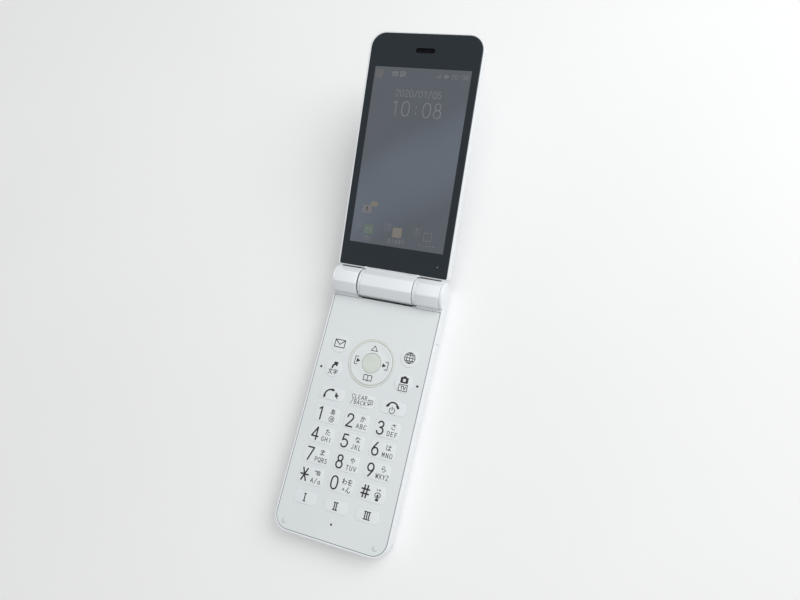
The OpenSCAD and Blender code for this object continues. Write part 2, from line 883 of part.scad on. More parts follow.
// Charging socket: a thin shell with its tongue
module charging_socket() {
    color(METAL) {
        difference() {
            block([-socket_w / 2, socket_y0, socket_z1 - socket_h],
                [socket_w / 2, socket_y0 + socket_d, socket_z1]);
            block([-socket_w / 2 + socket_shell, socket_y0 - over, socket_z1 - socket_h + socket_shell],
                [socket_w / 2 - socket_shell, socket_y0 + socket_d - 1, socket_z1 - socket_shell]);
        }
        block([-tongue_w / 2, socket_y0 + tongue_inset, socket_z1 - 2 * socket_shell - tongue_t],
            [tongue_w / 2, socket_y0 + socket_d - socket_shell, socket_z1 - 2 * socket_shell]);
    }
}

module camera_module() {
    color(DARK) {
        translate([lens_x - camera_w / 2, lens_y - camera_w / 2, wall + lens_step])
            cube([camera_w, camera_w, board_z0 - bay_gap - wall - lens_step]);
        translate([lens_x, lens_y, window_t + 2 * slip])
            cylinder(r = lens_r - lens_sight - lens_gap, h = wall + lens_step - window_t);
    }
}

module camera_window() {
    color(DARK)
        translate([lens_x, lens_y, slip])
            cylinder(r = lens_r, h = window_t - slip);
}

// Screws that draw the two shells together
module case_screws() {
    color(METAL)
        boss_places() {
            translate([0, 0, head_z - head_t])
                cylinder(r = head_r, h = head_t);
            translate([0, 0, head_z - slip])
                cylinder(r = screw_r, h = panel_z0 - over - slip - head_z);
        }
}

// Spring cartridge in the left knuckle
module hinge_cartridge() {
    color(METAL)
        at_hinge()
            difference() {
                axis_bar(cartridge_r, -knuckle_x - cartridge_len, -knuckle_x);
                axis_bar(shaft_r + running_gap, -knuckle_x - shaft_tail - running_gap, -knuckle_x + over);
            }
}

// Hollow bush in the right knuckle, running in the barrel's end wall
module hinge_bush() {
    color(METAL)
        at_hinge()
            difference() {
                axis_bar(cartridge_r, barrel_half - barrel_end, knuckle_x + bush_tail - tail_drop);
                axis_bar(bush_bore_r, 0, half_w);
            }
}

module hinge_caps() {
    color(WHITE)
        at_hinge() {
            axis_bar(cap_r, -half_w, -half_w + cap_t);
            axis_bar(cap_r, half_w - cap_t, half_w);
        }
}

// Cable from the bush down to the main board
module cable_tail() {
    color(GOLD) {
        block([tail_x0, hinge_y - tail_w / 2, hinge_z - tail_t / 2],
            [tail_x1, hinge_y + tail_w / 2, hinge_z + tail_t / 2]);
        block([tail_x1 - tail_t, hinge_y - tail_w / 2, tail_low], [tail_x1, hinge_y + tail_w / 2, hinge_z]);
        block([tail_x1 - tail_w, tail_y0, tail_low], [tail_x1, hinge_y - tail_w / 4, tail_low + tail_t]);
    }
}

// Fixed ring around the four-way key, lipped under the panel
module nav_trim() {
    color(GREY)
        translate([0, nav_y, 0])
            difference() {
                union() {
                    translate([0, 0, trim_z0])
                        cylinder(r = trim_r, h = base_t + key_rise / 2 - trim_z0);
                    translate([0, 0, trim_z0])
                        cylinder(r = trim_lip_r, h = trim_lip_t);
                }
                translate([0, 0, trim_z0 - over])
                    cylinder(r = trim_in_r, h = base_t);
            }
}

// Tilting ring below the four-way key, turning about X
module nav_carrier() {
    color(METAL)
        translate([0, nav_y, carrier_z0])
            difference() {
                cylinder(r = carrier_out, h = carrier_t);
                translate([0, 0, -over])
                    cylinder(r = carrier_in, h = carrier_t + 2 * over);
            }
}

// Four-way key with a foot above each of its domes
module nav_key() {
    color(PANEL)
        translate([0, nav_y, 0])
            difference() {
                union() {
                    translate([0, 0, nav_z0])
                        cylinder(r = nav_r, h = crown_z - nav_z0);
                    translate([0, 0, nav_z0])
                        cylinder(r = nav_flange_r, h = nav_flange_t);
                    for (a = [0:90:270])
                        translate([nav_foot_at * cos(a), nav_foot_at * sin(a), nav_foot_z])
                            cylinder(r = nav_foot_r, h = nav_z0 - nav_foot_z + slip);
                }
                translate([0, 0, nav_foot_z - over])
                    cylinder(r = nav_bore_r, h = base_t);
            }
}

module key_select() {
    color(GREY)
        translate([0, nav_y, 0])
            difference() {
                union() {
                    intersection() {
                        translate([0, 0, select_flange_z0])
                            cylinder(r = select_r, h = crown_z - select_flange_z0);
                        crown();
                    }
                    translate([0, 0, select_flange_z0])
                        cylinder(r = select_flange_r, h = select_flange_t);
                }
                translate([0, 0, select_flange_z0 - over])
                    cylinder(r = dome_r + dome_room, h = over + nub_z - select_flange_z0);
            }
}

// Key in the right wall, flanged behind it
module side_key() {
    color(WHITE) {
        block([side_in_x, side_y - side_l / 2, side_z0],
            [half_w + side_proud, side_y + side_l / 2, side_z1]);
        block([side_in_x, side_y - side_l / 2 - side_lap, side_z0 - side_lap],
            [side_in_x + side_flange, side_y + side_l / 2 + side_lap, side_z1]);
    }
}

// Shallow ball-shaped crown that rounds a key's top
module crown() {
    rotate_extrude()
        intersection() {
            translate([0, crown_z - crown_r])
                circle(crown_r, $fn = 720);
            translate([0, nub_z])
                square([crown_reach, base_t]);
        }
}

// Crowned cap with its flange under the panel and its nub above a dome
module rect_key(k) {
    color(PANEL)
        translate([k[1], panel_y1 - k[2], 0]) {
            intersection() {
                slab(k[3], -k[4] / 2, k[4] / 2, k[5], k[5], flange_z1, crown_z);
                crown();
            }
            slab(k[3] + 2 * flange_w, -k[4] / 2 - flange_w, k[4] / 2 + flange_w, k[5], k[5],
                flange_z0, flange_z1);
            translate([0, 0, nub_z])
                cylinder(r = nub_r, h = nub_l);
        }
}

module round_key(k) {
    color(PANEL)
        translate([k[1], panel_y1 - k[2], 0]) {
            intersection() {
                translate([0, 0, flange_z1])
                    cylinder(r = round_r, h = crown_z - flange_z1);
                crown();
            }
            translate([0, 0, flange_z0])
                cylinder(r = round_r + flange_w, h = flange_t);
            translate([0, 0, nub_z])
                cylinder(r = nub_r, h = nub_l);
        }
}

module lid_form() {
    shell_form(lip_v, lid_v1, lid_small_r, corner_r, lid_back, glass_h, back_r, rim_edge);
}

module lid_screw_places() {
    for (x = [-lid_screw_x, lid_screw_x])
        for (v = lid_screw_v)
            translate([x, v, 0])
                children();
}

// Bezel of the display half with the neck and the middle barrel
module lid_frame() {
    color(WHITE)
        on_lid()
            difference() {
                union() {
                    intersection() {
                        lid_form();
                        block([-half_w, 0, lid_split], [half_w, lid_v1, glass_h]);
                    }
                    block([-neck_half, neck_v0, neck_h0], [neck_half, neck_v1, neck_h1]);
                    rotate([-lid_lean, 0, 0])
                        hinge_prism(-barrel_half, barrel_half);
                }
                slab(2 * (glass_half + seam), glass_v0 - seam, glass_v1 + seam, panel_small,
                    glass_corner + seam, glass_back, glass_h + over);
                block([-lcd_half - lcd_gap, lcd_v0 - lcd_gap, lid_split - over],
                    [lcd_half + lcd_gap, lcd_v1 + lcd_gap, glass_h]);
                block([-receiver_w / 2 - lcd_gap, slot_v - receiver_l / 2 - lcd_gap, lid_split - over],
                    [receiver_w / 2 + lcd_gap, slot_v + receiver_l / 2 + lcd_gap, glass_h]);
                translate([lamp_x, lamp_v, lid_split - over])
                    cylinder(r = lamp_r + seat_gap, h = glass_h - lid_split + over);
                lid_screw_places() {
                    translate([0, 0, glass_back - lid_head_t - slip])
                        cylinder(r = head_r + seat_gap, h = glass_t);
                    translate([0, 0, lid_split - over])
                        cylinder(r = screw_r + slip, h = glass_h - lid_split + over);
                }
                axis_bar(barrel_bore_r, -barrel_half + barrel_end, barrel_half - barrel_end);
                axis_bar(cartridge_r + running_gap, 0, barrel_half + over);
                rotate([-lid_lean, 0, 0])
                    block([-barrel_half - over, -square_w / 2 - seat_gap, -square_w / 2 - seat_gap],
                        [0, square_w / 2 + seat_gap, square_w / 2 + seat_gap]);
                block([-coil_half - lcd_gap, 0, cable_h - cable_t - lcd_gap],
                    [coil_half + lcd_gap, glass_v0, cable_h + lcd_gap]);
            }
}

// Outer shell of the display half
module lid_cover() {
    color(WHITE)
        on_lid()
            difference() {
                union() {
                    difference() {
                        intersection() {
                            lid_form();
                            block([-half_w, 0, lid_back], [half_w, lid_v1, lid_split]);
                        }
                        slab(2 * inner_half, lip_v + wall, lid_v1 - wall, lid_small_r, corner_r - wall,
                            lid_floor, glass_h);
                    }
                    lid_screw_places()
                        translate([0, 0, lid_floor - slip])
                            cylinder(r = lid_boss_r, h = lid_split - lid_floor + slip);
                }
                lid_screw_places()
                    translate([0, 0, lid_floor])
                        cylinder(r = screw_r + seat_gap, h = lid_t);
                block([-barrel_half - seam, 0, neck_h0 - seam],
                    [barrel_half + seam, neck_v1 + seam, glass_h]);
                block([-coil_half - lcd_gap, 0, cable_h - cable_t - lcd_gap],
                    [coil_half + lcd_gap, lip_v + 2 * wall, cable_h + lcd_gap]);
                slab(window_w + 2 * seam, window_v - window_l / 2 - seam, window_v + window_l / 2 + seam,
                    window_r, window_r, lid_back - over, lid_back + window_t);
                slab(window_w - 2 * sight, window_v - window_l / 2 + sight, window_v + window_l / 2 - sight,
                    window_r - sight / 2, window_r - sight / 2, lid_back, lid_floor + over);
            }
}

// Dark glass over the whole face, slotted for the earpiece
module cover_glass() {
    color(DARK)
        on_lid()
            difference() {
                slab(2 * glass_half, glass_v0, glass_v1, panel_small, glass_corner, glass_back, glass_h);
                translate([0, slot_v, glass_back - over])
                    linear_extrude(glass_t + 2 * over)
                        slot2d(0);
            }
}

// The earpiece slot, drawn in by the given amount
module slot2d(inset) {
    square([slot_l - slot_w, slot_w - 2 * inset], center = true);
    for (s = [-1, 1])
        translate([s * (slot_l - slot_w) / 2, 0])
            circle(slot_w / 2 - inset);
}

module display_panel() {
    color(GREY)
        on_lid()
            block([-lcd_half, lcd_v0, lcd_h1 - lcd_t], [lcd_half, lcd_v1, lcd_h1]);
}

// Metal tray behind the display
module display_tray() {
    color(METAL)
        on_lid()
            block([-tray_half, tray_v0, tray_h1 - tray_t], [tray_half, tray_v1, tray_h1]);
}

module earpiece() {
    color(DARK)
        on_lid()
            block([-receiver_w / 2, slot_v - receiver_l / 2, lcd_h1 - receiver_t],
                [receiver_w / 2, slot_v + receiver_l / 2, lcd_h1]);
}

module earpiece_mesh() {
    color(METAL)
        on_lid()
            translate([0, slot_v, lcd_h1])
                linear_extrude(mesh_t)
                    slot2d(seam);
}

module lid_board() {
    color(GREEN)
        on_lid()
            block([-lid_board_half, lid_board_v0, lid_board_h - lid_board_t],
                [lid_board_half, lid_board_v0 + lid_board_l, lid_board_h]);
}

// Light pipe behind the glass
module status_lamp() {
    color(WHITE)
        on_lid()
            translate([lamp_x, lamp_v, lid_split])
                cylinder(r = lamp_r, h = glass_back - slip - lid_split);
}

module lid_screws() {
    color(METAL)
        on_lid()
            lid_screw_places() {
                translate([0, 0, glass_back - slip - lid_head_t])
                    cylinder(r = head_r, h = lid_head_t);
                translate([0, 0, glass_back - slip - lid_head_t - lid_screw_l])
                    cylinder(r = screw_r, h = lid_screw_l + slip);
            }
}

// Small window in the back of the display half
module outer_window() {
    color(DARK)
        on_lid()
            slab(window_w, window_v - window_l / 2, window_v + window_l / 2, window_r, window_r,
                lid_back, lid_back + window_t);
}

// Shaft of the cartridge, squared where it drives the barrel
module hinge_shaft() {
    color(METAL)
        at_hinge() {
            axis_bar(shaft_r, -knuckle_x - shaft_tail, -barrel_half);
            block([-barrel_half - seat_gap, -square_w / 2, -square_w / 2],
                [-barrel_half + barrel_end, square_w / 2, square_w / 2]);
        }
}

// One edge of the wound cable: a spiral from coil_in to coil_out
function spiral(r0, r1) = [
    for (i = [0:coil_steps])
        let (r = r0 + (r1 - r0) * i / coil_steps, a = 360 * coil_turns * i / coil_steps - coil_start)
            [r * cos(a), r * sin(a)]
];

function backward(points) = [for (i = [len(points) - 1:-1:0]) points[i]];

// Cable wound inside the barrel, with its end on the display board
module cable_coil() {
    color(GOLD)
        on_lid() {
            translate([-coil_half, 0, 0])
                rotate([90, 0, 90])
                    linear_extrude(2 * coil_half)
                        polygon(concat(spiral(coil_in, coil_out),
                            backward(spiral(coil_in + cable_t, coil_out + cable_t))));
            block([-coil_half, coil_out * cos(coil_start), cable_h - cable_t],
                [coil_half, lid_board_v0 + coil_lap, cable_h]);
        }
}

front_case();
rear_case();
battery_cover();
keypad_panel();
battery_pack();
main_board();
dome_sheet();
shield_can();
loudspeaker();
vibration_motor();
microphone();
charging_socket();
camera_module();
camera_window();
case_screws();
cushion_pads();
hinge_cartridge();
hinge_bush();
hinge_caps();
cable_tail();
nav_trim();
nav_carrier();
nav_key();
key_select();
side_key();
for (k = RECT_KEYS)
    rect_key(k);
for (k = ROUND_KEYS)
    round_key(k);
lid_frame();
lid_cover();
cover_glass();
display_panel();
display_tray();
earpiece();
earpiece_mesh();
lid_board();
status_lamp();
lid_screws();
outer_window();
hinge_shaft();
cable_coil();
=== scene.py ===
import math

import bmesh
import bpy
import numpy as np
from mathutils import Euler, Matrix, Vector
from mathutils.geometry import delaunay_2d_cdt


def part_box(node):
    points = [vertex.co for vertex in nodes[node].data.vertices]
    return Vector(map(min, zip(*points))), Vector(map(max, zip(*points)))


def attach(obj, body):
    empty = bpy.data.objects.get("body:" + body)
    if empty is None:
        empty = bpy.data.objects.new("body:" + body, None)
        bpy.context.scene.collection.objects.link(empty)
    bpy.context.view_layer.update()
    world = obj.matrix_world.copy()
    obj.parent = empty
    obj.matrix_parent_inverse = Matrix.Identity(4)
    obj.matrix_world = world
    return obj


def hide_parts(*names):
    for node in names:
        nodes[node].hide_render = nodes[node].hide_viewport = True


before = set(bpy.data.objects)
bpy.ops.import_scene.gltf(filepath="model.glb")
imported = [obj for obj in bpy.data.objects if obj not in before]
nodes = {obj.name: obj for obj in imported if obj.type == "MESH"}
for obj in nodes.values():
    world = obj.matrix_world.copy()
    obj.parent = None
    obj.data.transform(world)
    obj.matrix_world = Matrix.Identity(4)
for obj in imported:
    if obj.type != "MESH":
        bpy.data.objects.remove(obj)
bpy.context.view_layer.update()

mm = 0.001  # shapes are worked out in millimetres and written to the meshes in metres


# a node's low and high corners
def boxOf(node):
    low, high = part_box(node)
    return np.array(low) / mm, np.array(high) / mm


# half of the sum of those corners
def middleOf(node):
    low, high = boxOf(node)
    return (low + high) / 2


lidPlace = {"lean": math.radians(16.6), "axis": middleOf("hinge_shaft")[1:]}
leanCos, leanSin = math.cos(lidPlace["lean"]), math.sin(lidPlace["lean"])
axisY, axisZ = lidPlace["axis"]


# lid places (across, away from the hinge, above the hinge axis) turned up by the lean and moved to the hinge
def onLid(points):
    x, along, above = np.moveaxis(np.asarray(points, float), -1, 0)
    y = axisY + along * leanCos - above * leanSin
    z = axisZ + along * leanSin + above * leanCos
    return np.stack([x, y, z], -1)


# places on the lower half are used as they are
def onBase(points):
    return np.asarray(points, float)


# outlines and surfaces


# a plate by its half width, its ends and its corner radii: r0 at the y0 end, r1 at the y1 end
def plate(half, y0, y1, r0, r1=None, x=0.0, arc=8, side=1):
    r1 = r0 if r1 is None else r1
    return {"half": half, "y0": y0, "y1": y1, "r0": r0, "r1": r1, "x": x, "arc": arc, "side": side}


# a circle by its middle, its radius and its number of points
def circle(x, y, r, steps):
    return {"x": x, "y": y, "r": r, "steps": steps}


# an outline's points moved in by an inset, anticlockwise: a circle, or four corner arcs joined by sides
def ringOf(outline, inset=0.0, leastR=0.02):
    if "r" in outline:
        turn = np.linspace(0, 2 * np.pi, outline["steps"], endpoint=False)
        r = outline["r"] - inset
        return np.stack([outline["x"] + r * np.cos(turn), outline["y"] + r * np.sin(turn)], 1)
    half, y0, y1 = outline["half"] - inset, outline["y0"] + inset, outline["y1"] - inset
    r0, r1 = max(outline["r0"] - inset, leastR), max(outline["r1"] - inset, leastR)
    turn = np.linspace(0, 0.5 * np.pi, outline["arc"] + 1)
    corners = [(half - r0, y0 + r0, r0, -0.5), (half - r1, y1 - r1, r1, 0.0),
               (r1 - half, y1 - r1, r1, 0.5), (r0 - half, y0 + r0, r0, 1.0)]
    arcs = [np.stack([x + r * np.cos(turn + k * np.pi), y + r * np.sin(turn + k * np.pi)], 1)
            for x, y, r, k in corners]
    steps = np.linspace(0, 1, outline["side"] + 1)[1:-1, None]
    sides = [arc[-1] + steps * (after[0] - arc[-1]) for arc, after in zip(arcs, arcs[1:] + arcs[:1])]
    return np.vstack([part for pair in zip(arcs, sides) for part in pair]) + [outline["x"], 0.0]


# a flat ring lifted to a height, or to one height for each point
def raised(ring, height):
    return np.column_stack([ring, np.broadcast_to(height, len(ring))])


# rings joined in order by quads, each closed on itself; an end gets a narrow border and a fan to its middle
def loft(rings, lowCap=True, highCap=True, loop=False, border=0.015):
    rings = np.asarray(rings, float)
    count, width = rings.shape[:2]
    index = np.arange(count * width).reshape(count, width)
    rows = np.vstack([index, index[:1]]) if loop else index
    a, b = rows[:-1], rows[1:]
    points = rings.reshape(-1, 3)
    blocks = [np.stack([a, np.roll(a, -1, 1), np.roll(b, -1, 1), b], -1).reshape(-1, 4)]
    for wanted, ring in ((lowCap, index[0]), (highCap, index[-1])):
        if wanted and not loop:
            centre = points[ring].mean(0)
            rim = np.arange(width) + len(points)
            points = np.vstack([points, points[ring] * (1 - border) + centre * border, centre])
            middle = np.full(width, len(points) - 1)
            blocks.append(np.stack([ring, np.roll(ring, -1), np.roll(rim, -1), rim], -1))
            blocks.append(np.stack([rim, np.roll(rim, -1), middle], -1))
    return points, blocks


# a profile of (radius, height) turned about the upright axis at (x, y)
def turned(profile, x, y, steps=96, loop=True):
    turn = np.linspace(0, 2 * np.pi, steps, endpoint=False)
    radii, heights = np.hsplit(np.asarray(profile, float), 2)
    rings = [x + radii * np.cos(turn), y + radii * np.sin(turn), np.repeat(heights, steps, 1)]
    return loft(np.stack(rings, -1), loop=loop)


# a quarter round from a wall to a face: insets and heights of its steps, ending at the face height
def roundEdge(radius, face, steps=5, up=1):
    turn = np.linspace(0, 0.5 * np.pi, steps)
    return np.column_stack([radius * (1 - np.cos(turn)), face - up * radius * (1 - np.sin(turn))])


# a wall that rises from its foot to such a round
def wallEdge(foot, radius, face, steps=5):
    return np.vstack([[0, foot], roundEdge(radius, face, steps)])


# an edge's steps as places: drawn in from an outer wall, or out from an inner one in the opposite order
def fromWall(wall, edge, way=-1):
    places = np.column_stack([wall + way * edge[:, 0], edge[:, 1]])
    return places if way < 0 else places[::-1]


# a closed solid on an outline, its wall following an edge of (inset, height) steps
def slab(outline, edge):
    return loft([raised(ringOf(outline, inset), height) for inset, height in edge])


# shells mirrored in height, for faces that look down
def flipped(shells):
    return [(points * [1, 1, -1], blocks) for points, blocks in shells]


# a point lies inside a ring where a line from it towards +x crosses the ring an odd number of times
def insideRing(points, ring):
    x, y = points[:, :1], points[:, 1:]
    a, b = ring, np.roll(ring, -1, 0)
    cross = (a[:, 1] > y) != (b[:, 1] > y)
    rise = np.where(b[:, 1] == a[:, 1], 1e-12, b[:, 1] - a[:, 1])
    hit = x < a[:, 0] + (y - a[:, 1]) * (b[:, 0] - a[:, 0]) / rise
    return (cross & hit).sum(1) % 2 == 1


# the flat land between the first ring and the holes after it, as triangles; dividing rings only cut it up
def land(rings, dividing, tolerance=1e-7):
    points = np.vstack([*rings, *dividing])
    starts = np.cumsum([0] + [len(ring) for ring in (*rings, *dividing)])
    runs = [np.arange(start, end) for start, end in zip(starts[:-1], starts[1:])]
    edges = np.vstack([np.stack([run, np.roll(run, -1)], 1) for run in runs])
    made = delaunay_2d_cdt(points.tolist(), edges.tolist(), [], 1, tolerance)
    origin = np.array([sources[0] for sources in made[3]])
    faces = origin[np.array([face for face in made[2] if len(face) == 3])]
    middle = points[faces].mean(1)
    keep = insideRing(middle, rings[0])
    for hole in rings[1:]:
        keep &= ~insideRing(middle, hole)
    return faces[keep]


# a plate with holes: every wall follows its edge of (inset, height) steps, and flat lands lie between them
def pierced(outline, holes, outerEdge, holeEdge, dividing=(), border=0.02):
    shells, ends = [], []
    for shape, edge, way in [(outline, outerEdge, 1)] + [(hole, holeEdge, -1) for hole in holes]:
        # a flat border beside each land
        edge = np.vstack([edge[0] + [border, 0], edge, edge[-1] + [border, 0]])
        rings = [raised(ringOf(shape, way * inset), height) for inset, height in edge]
        shells.append(loft(rings, False, False))
        ends.append((rings[0], rings[-1]))
    for rings, cuts in zip(zip(*ends), ((), dividing)):
        points = np.vstack([*rings, *[raised(cut, rings[0][0, 2]) for cut in cuts]])
        shells.append((points, [land([ring[:, :2] for ring in rings], cuts)]))
    return shells


# a section carried along a path: at each path point its insets run inward and its heights upward
def carried(path, outward, section):
    flat = path[:, None, :] - outward[:, None, :] * section[:, :1]
    heights = np.broadcast_to(section[:, 1], flat.shape[:2])
    return loft(np.concatenate([flat, heights[..., None]], -1))


# finishes: colours vary with a slow noise, roughness and bump with a fine one, all on Object coordinates
grainSet = {"cloudDetail": 3.0, "grainDetail": 2.0, "dark": 0.35, "light": 0.65, "depth": 0.00002}


# a socket linked to an output, or set to a value
def feed(tree, socket, value):
    if isinstance(value, bpy.types.NodeSocket):
        tree.links.new(value, socket)
    else:
        socket.default_value = value


# a node with its inputs set to values or linked to the outputs of other nodes
def addNode(tree, kind, **inputs):
    made = tree.nodes.new("ShaderNode" + kind)
    for name, value in inputs.items():
        feed(tree, made.inputs[name.replace("_", " ")], value)
    return made


# a colour ramp between two (position, colour) stops
def addRamp(tree, share, stops):
    made = addNode(tree, "ValToRGB", Fac=share)
    for element, (position, colour) in zip(made.color_ramp.elements, stops):
        element.position, element.color = position, (*colour, 1)
    return made.outputs["Color"]


# the slow noise picks the colour from a ramp; the fine one is spread over the roughness and drives the bump
def mixedFinish(name, dark, light, cloud, grain, rough, bump=0.0, sockets=None, stretch=(1, 1, 1)):
    finish = bpy.data.materials.new(name)
    finish.use_nodes = True
    tree = finish.node_tree
    shader = tree.nodes["Principled BSDF"].inputs
    place = addNode(tree, "TexCoord").outputs["Object"]
    spot = addNode(tree, "Mapping", Vector=place, Scale=stretch).outputs["Vector"]
    slow, fine = (addNode(tree, "TexNoise", Vector=spot, Scale=scale, Detail=grainSet[detail]).outputs["Fac"]
                  for scale, detail in ((cloud, "cloudDetail"), (grain, "grainDetail")))
    colour = addRamp(tree, slow, [(grainSet["dark"], dark), (grainSet["light"], light)])
    feed(tree, shader["Base Color"], colour)
    spread = addNode(tree, "MapRange", Value=fine, To_Min=rough[0], To_Max=rough[1])
    feed(tree, shader["Roughness"], spread.outputs["Result"])
    if bump:
        lump = addNode(tree, "Bump", Strength=bump, Distance=grainSet["depth"], Height=fine)
        feed(tree, shader["Normal"], lump.outputs["Normal"])
    for socket, value in (sockets or {}).items():
        shader[socket].default_value = value
    return finish


# dark and light colour, sizes of the clouds and of the grain, roughness range, bump, then sockets of its own
finishSet = {
    "caseWhite": ((0.757, 0.79, 0.815), (0.793, 0.824, 0.845), 40, 9000, (0.26, 0.34), 0.05,
                  {"Coat Weight": 0.25, "Coat Roughness": 0.12}),
    "panelWhite": ((0.69, 0.73, 0.74), (0.715, 0.75, 0.76), 30, 12000, (0.30, 0.38), 0.05),
    "keyWhite": ((0.718, 0.76, 0.77), (0.738, 0.78, 0.79), 60, 12000, (0.26, 0.34), 0.04),
    "trimSatin": ((0.62, 0.66, 0.62), (0.68, 0.71, 0.67), 300, 9000, (0.26, 0.36), 0.1),
    "selectSatin": ((0.60, 0.65, 0.60), (0.64, 0.69, 0.64), 200, 14000, (0.34, 0.44), 0.12),
    "inkGrey": ((0.018, 0.016, 0.021), (0.028, 0.025, 0.031), 3000, 20000, (0.45, 0.6), 0.0,
                {"Specular IOR Level": 0.35}),
    "glassDark": ((0.0010, 0.0028, 0.0056), (0.0018, 0.0040, 0.0072), 25, 700, (0.05, 0.08), 0.0,
                  {"Specular Tint": (0.84, 0.94, 1.0, 1.0)}),
    # near-black of the earpiece cloth, also the painted shade of the sill before the hinge barrel
    "clothBlack": ((0.005, 0.005, 0.006), (0.010, 0.010, 0.012), 900, 9000, (0.6, 0.8), 0.2,
                   {"Specular IOR Level": 0.04}),
    # a dark grey used only as painted shade: the band in the faceplate seam and the rings in the hinge gaps
    "sealGrey": ((0.055, 0.058, 0.066), (0.075, 0.078, 0.086), 300, 9000, (0.55, 0.7), 0.1),
    "padRubber": ((0.62, 0.66, 0.66), (0.68, 0.71, 0.71), 500, 9000, (0.35, 0.5), 0.1),
    "steel": ((0.52, 0.53, 0.54), (0.62, 0.63, 0.64), 400, 6000, (0.24, 0.38), 0.15, {"Metallic": 1.0}),
    "aluminium": ((0.62, 0.63, 0.65), (0.70, 0.71, 0.73), 200, 4000, (0.30, 0.42), 0.1,
                  {"Metallic": 1.0}, (1, 0.05, 1)),
    "boardGreen": ((0.012, 0.11, 0.045), (0.03, 0.17, 0.07), 900, 7000, (0.35, 0.5), 0.3),
    # black plastic of the small solids, also the painted shadow strips along the knuckles' upper ridges
    "blackPlastic": ((0.012, 0.012, 0.014), (0.022, 0.022, 0.024), 200, 8000, (0.45, 0.6), 0.3),
    "cableFilm": ((0.42, 0.20, 0.035), (0.55, 0.28, 0.06), 300, 5000, (0.25, 0.4), 0.1),
    "lampClear": ((0.20, 0.22, 0.24), (0.27, 0.29, 0.31), 2000, 9000, (0.15, 0.25)),
    "packGrey": ((0.05, 0.053, 0.058), (0.075, 0.078, 0.083), 120, 9000, (0.4, 0.55), 0.2),
    "screenDim": ((0.062, 0.071, 0.086), (0.070, 0.079, 0.094), 35, 900, (0.06, 0.10)),
    "screenInk": ((0.17, 0.175, 0.18), (0.20, 0.205, 0.21), 300, 900, (0.06, 0.10)),
    "iconGreen": ((0.10, 0.145, 0.12), (0.12, 0.165, 0.135), 300, 900, (0.06, 0.10)),
    "iconPale": ((0.105, 0.108, 0.112), (0.12, 0.123, 0.127), 300, 900, (0.06, 0.10)),
    "iconMist": ((0.155, 0.148, 0.158), (0.175, 0.166, 0.178), 300, 900, (0.06, 0.10)),
    "iconSand": ((0.18, 0.165, 0.135), (0.20, 0.18, 0.15), 300, 900, (0.06, 0.10)),
    "paleCard": ((0.86, 0.865, 0.865), (0.88, 0.885, 0.885), 6, 400, (0.7, 0.85)),
}
finishes = {name: mixedFinish(name, *look) for name, look in finishSet.items()}

glowSet = {"slant": 58, "scale": 4.4, "bend": 1.6, "phase": 4.0, "start": 0.5, "strength": 0.5,
           "dark": (0.036, 0.040, 0.048), "light": (0.076, 0.100, 0.132)}


# the lit display glows a little, with a broad pale band running up to the right
def glowScreen():
    tree = finishes["screenDim"].node_tree
    shader = tree.nodes["Principled BSDF"].inputs
    place = tree.nodes["Texture Coordinate"].outputs["Object"]
    slant = addNode(tree, "Mapping", Vector=place, Rotation=(0, 0, math.radians(glowSet["slant"])))
    wave = addNode(tree, "TexWave", Vector=slant.outputs["Vector"], Scale=glowSet["scale"],
                   Distortion=glowSet["bend"], Phase_Offset=glowSet["phase"])
    stops = [(glowSet["start"], glowSet["dark"]), (1.0, glowSet["light"])]
    feed(tree, shader["Emission Color"], addRamp(tree, wave.outputs["Fac"], stops))
    shader["Emission Strength"].default_value = glowSet["strength"]


glowScreen()
print("finishes made:", len(finishes))


# a new object in the scene
def placed(name, data):
    made = bpy.data.objects.new(name, data)
    bpy.context.scene.collection.objects.link(made)
    return made


# a piece from shells of points and blocks of faces, joined in one mesh
def piece(name, shells, finish, body, stands=(), place=onBase):
    starts = np.cumsum([0] + [len(points) for points, blocks in shells])
    points = np.vstack([points for points, blocks in shells])
    moved = [block + start for start, (_, blocks) in zip(starts, shells) for block in blocks]
    mesh = bpy.data.meshes.new(name)
    mesh.from_pydata((place(points) * mm).tolist(), [], [face for block in moved for face in block.tolist()])
    return settle(name, mesh, finish, body, stands)


# a mesh made a piece: doubles merged, faces turned outward, sharp above an angle, finished, on its body
def settle(name, mesh, finish, body, stands=(), sharp=32, weld=2e-7):
    work = bmesh.new()
    work.from_mesh(mesh)
    bmesh.ops.remove_doubles(work, verts=work.verts, dist=weld)
    bmesh.ops.recalc_face_normals(work, faces=work.faces)
    work.to_mesh(mesh)
    work.free()
    mesh.shade_smooth()
    mesh.set_sharp_from_angle(angle=math.radians(sharp))
    for one in [finish] if isinstance(finish, str) else finish:
        mesh.materials.append(finishes[one])
    made = placed(name, mesh)
    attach(made, body)
    if stands:
        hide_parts(*stands)
    return made


# camera, light and floor
cameraSet = {"eye": (79.699, -4.062, 243.701), "turn": (15.379, 14.313, 13.968), "lens": 26.388,
             "sensor": 36.0, "clip": (0.01, 20)}


# the camera moved to its eye after three turns about X, Y and Z, in degrees
def makeCamera():
    data = bpy.data.cameras.new("studyCamera")
    data.sensor_width, data.lens = cameraSet["sensor"], cameraSet["lens"]
    data.clip_start, data.clip_end = cameraSet["clip"]
    made = placed("studyCamera", data)
    turn = Euler(np.radians(cameraSet["turn"]).tolist()).to_matrix().to_4x4()
    made.matrix_world = Matrix.Translation([size * mm for size in cameraSet["eye"]]) @ turn
    bpy.context.scene.camera = made


# a pale room, a large near light above right and one broad far light from higher up, in metres
lightSet = {"aim": (0, 0.04, 0.01), "sky": 0.45, "skyColour": (1.0, 1.0, 1.0, 1),
            "seen": 0.82, "seenColour": (0.96, 0.985, 1.0, 1),
            "lamps": [("rightSide", "AREA", (0.42, 0.36, 0.46), 1.95, 0.5),
                      ("farLight", "SUN", (0.42, 0.26, 1.0), 1.02, 70)]}


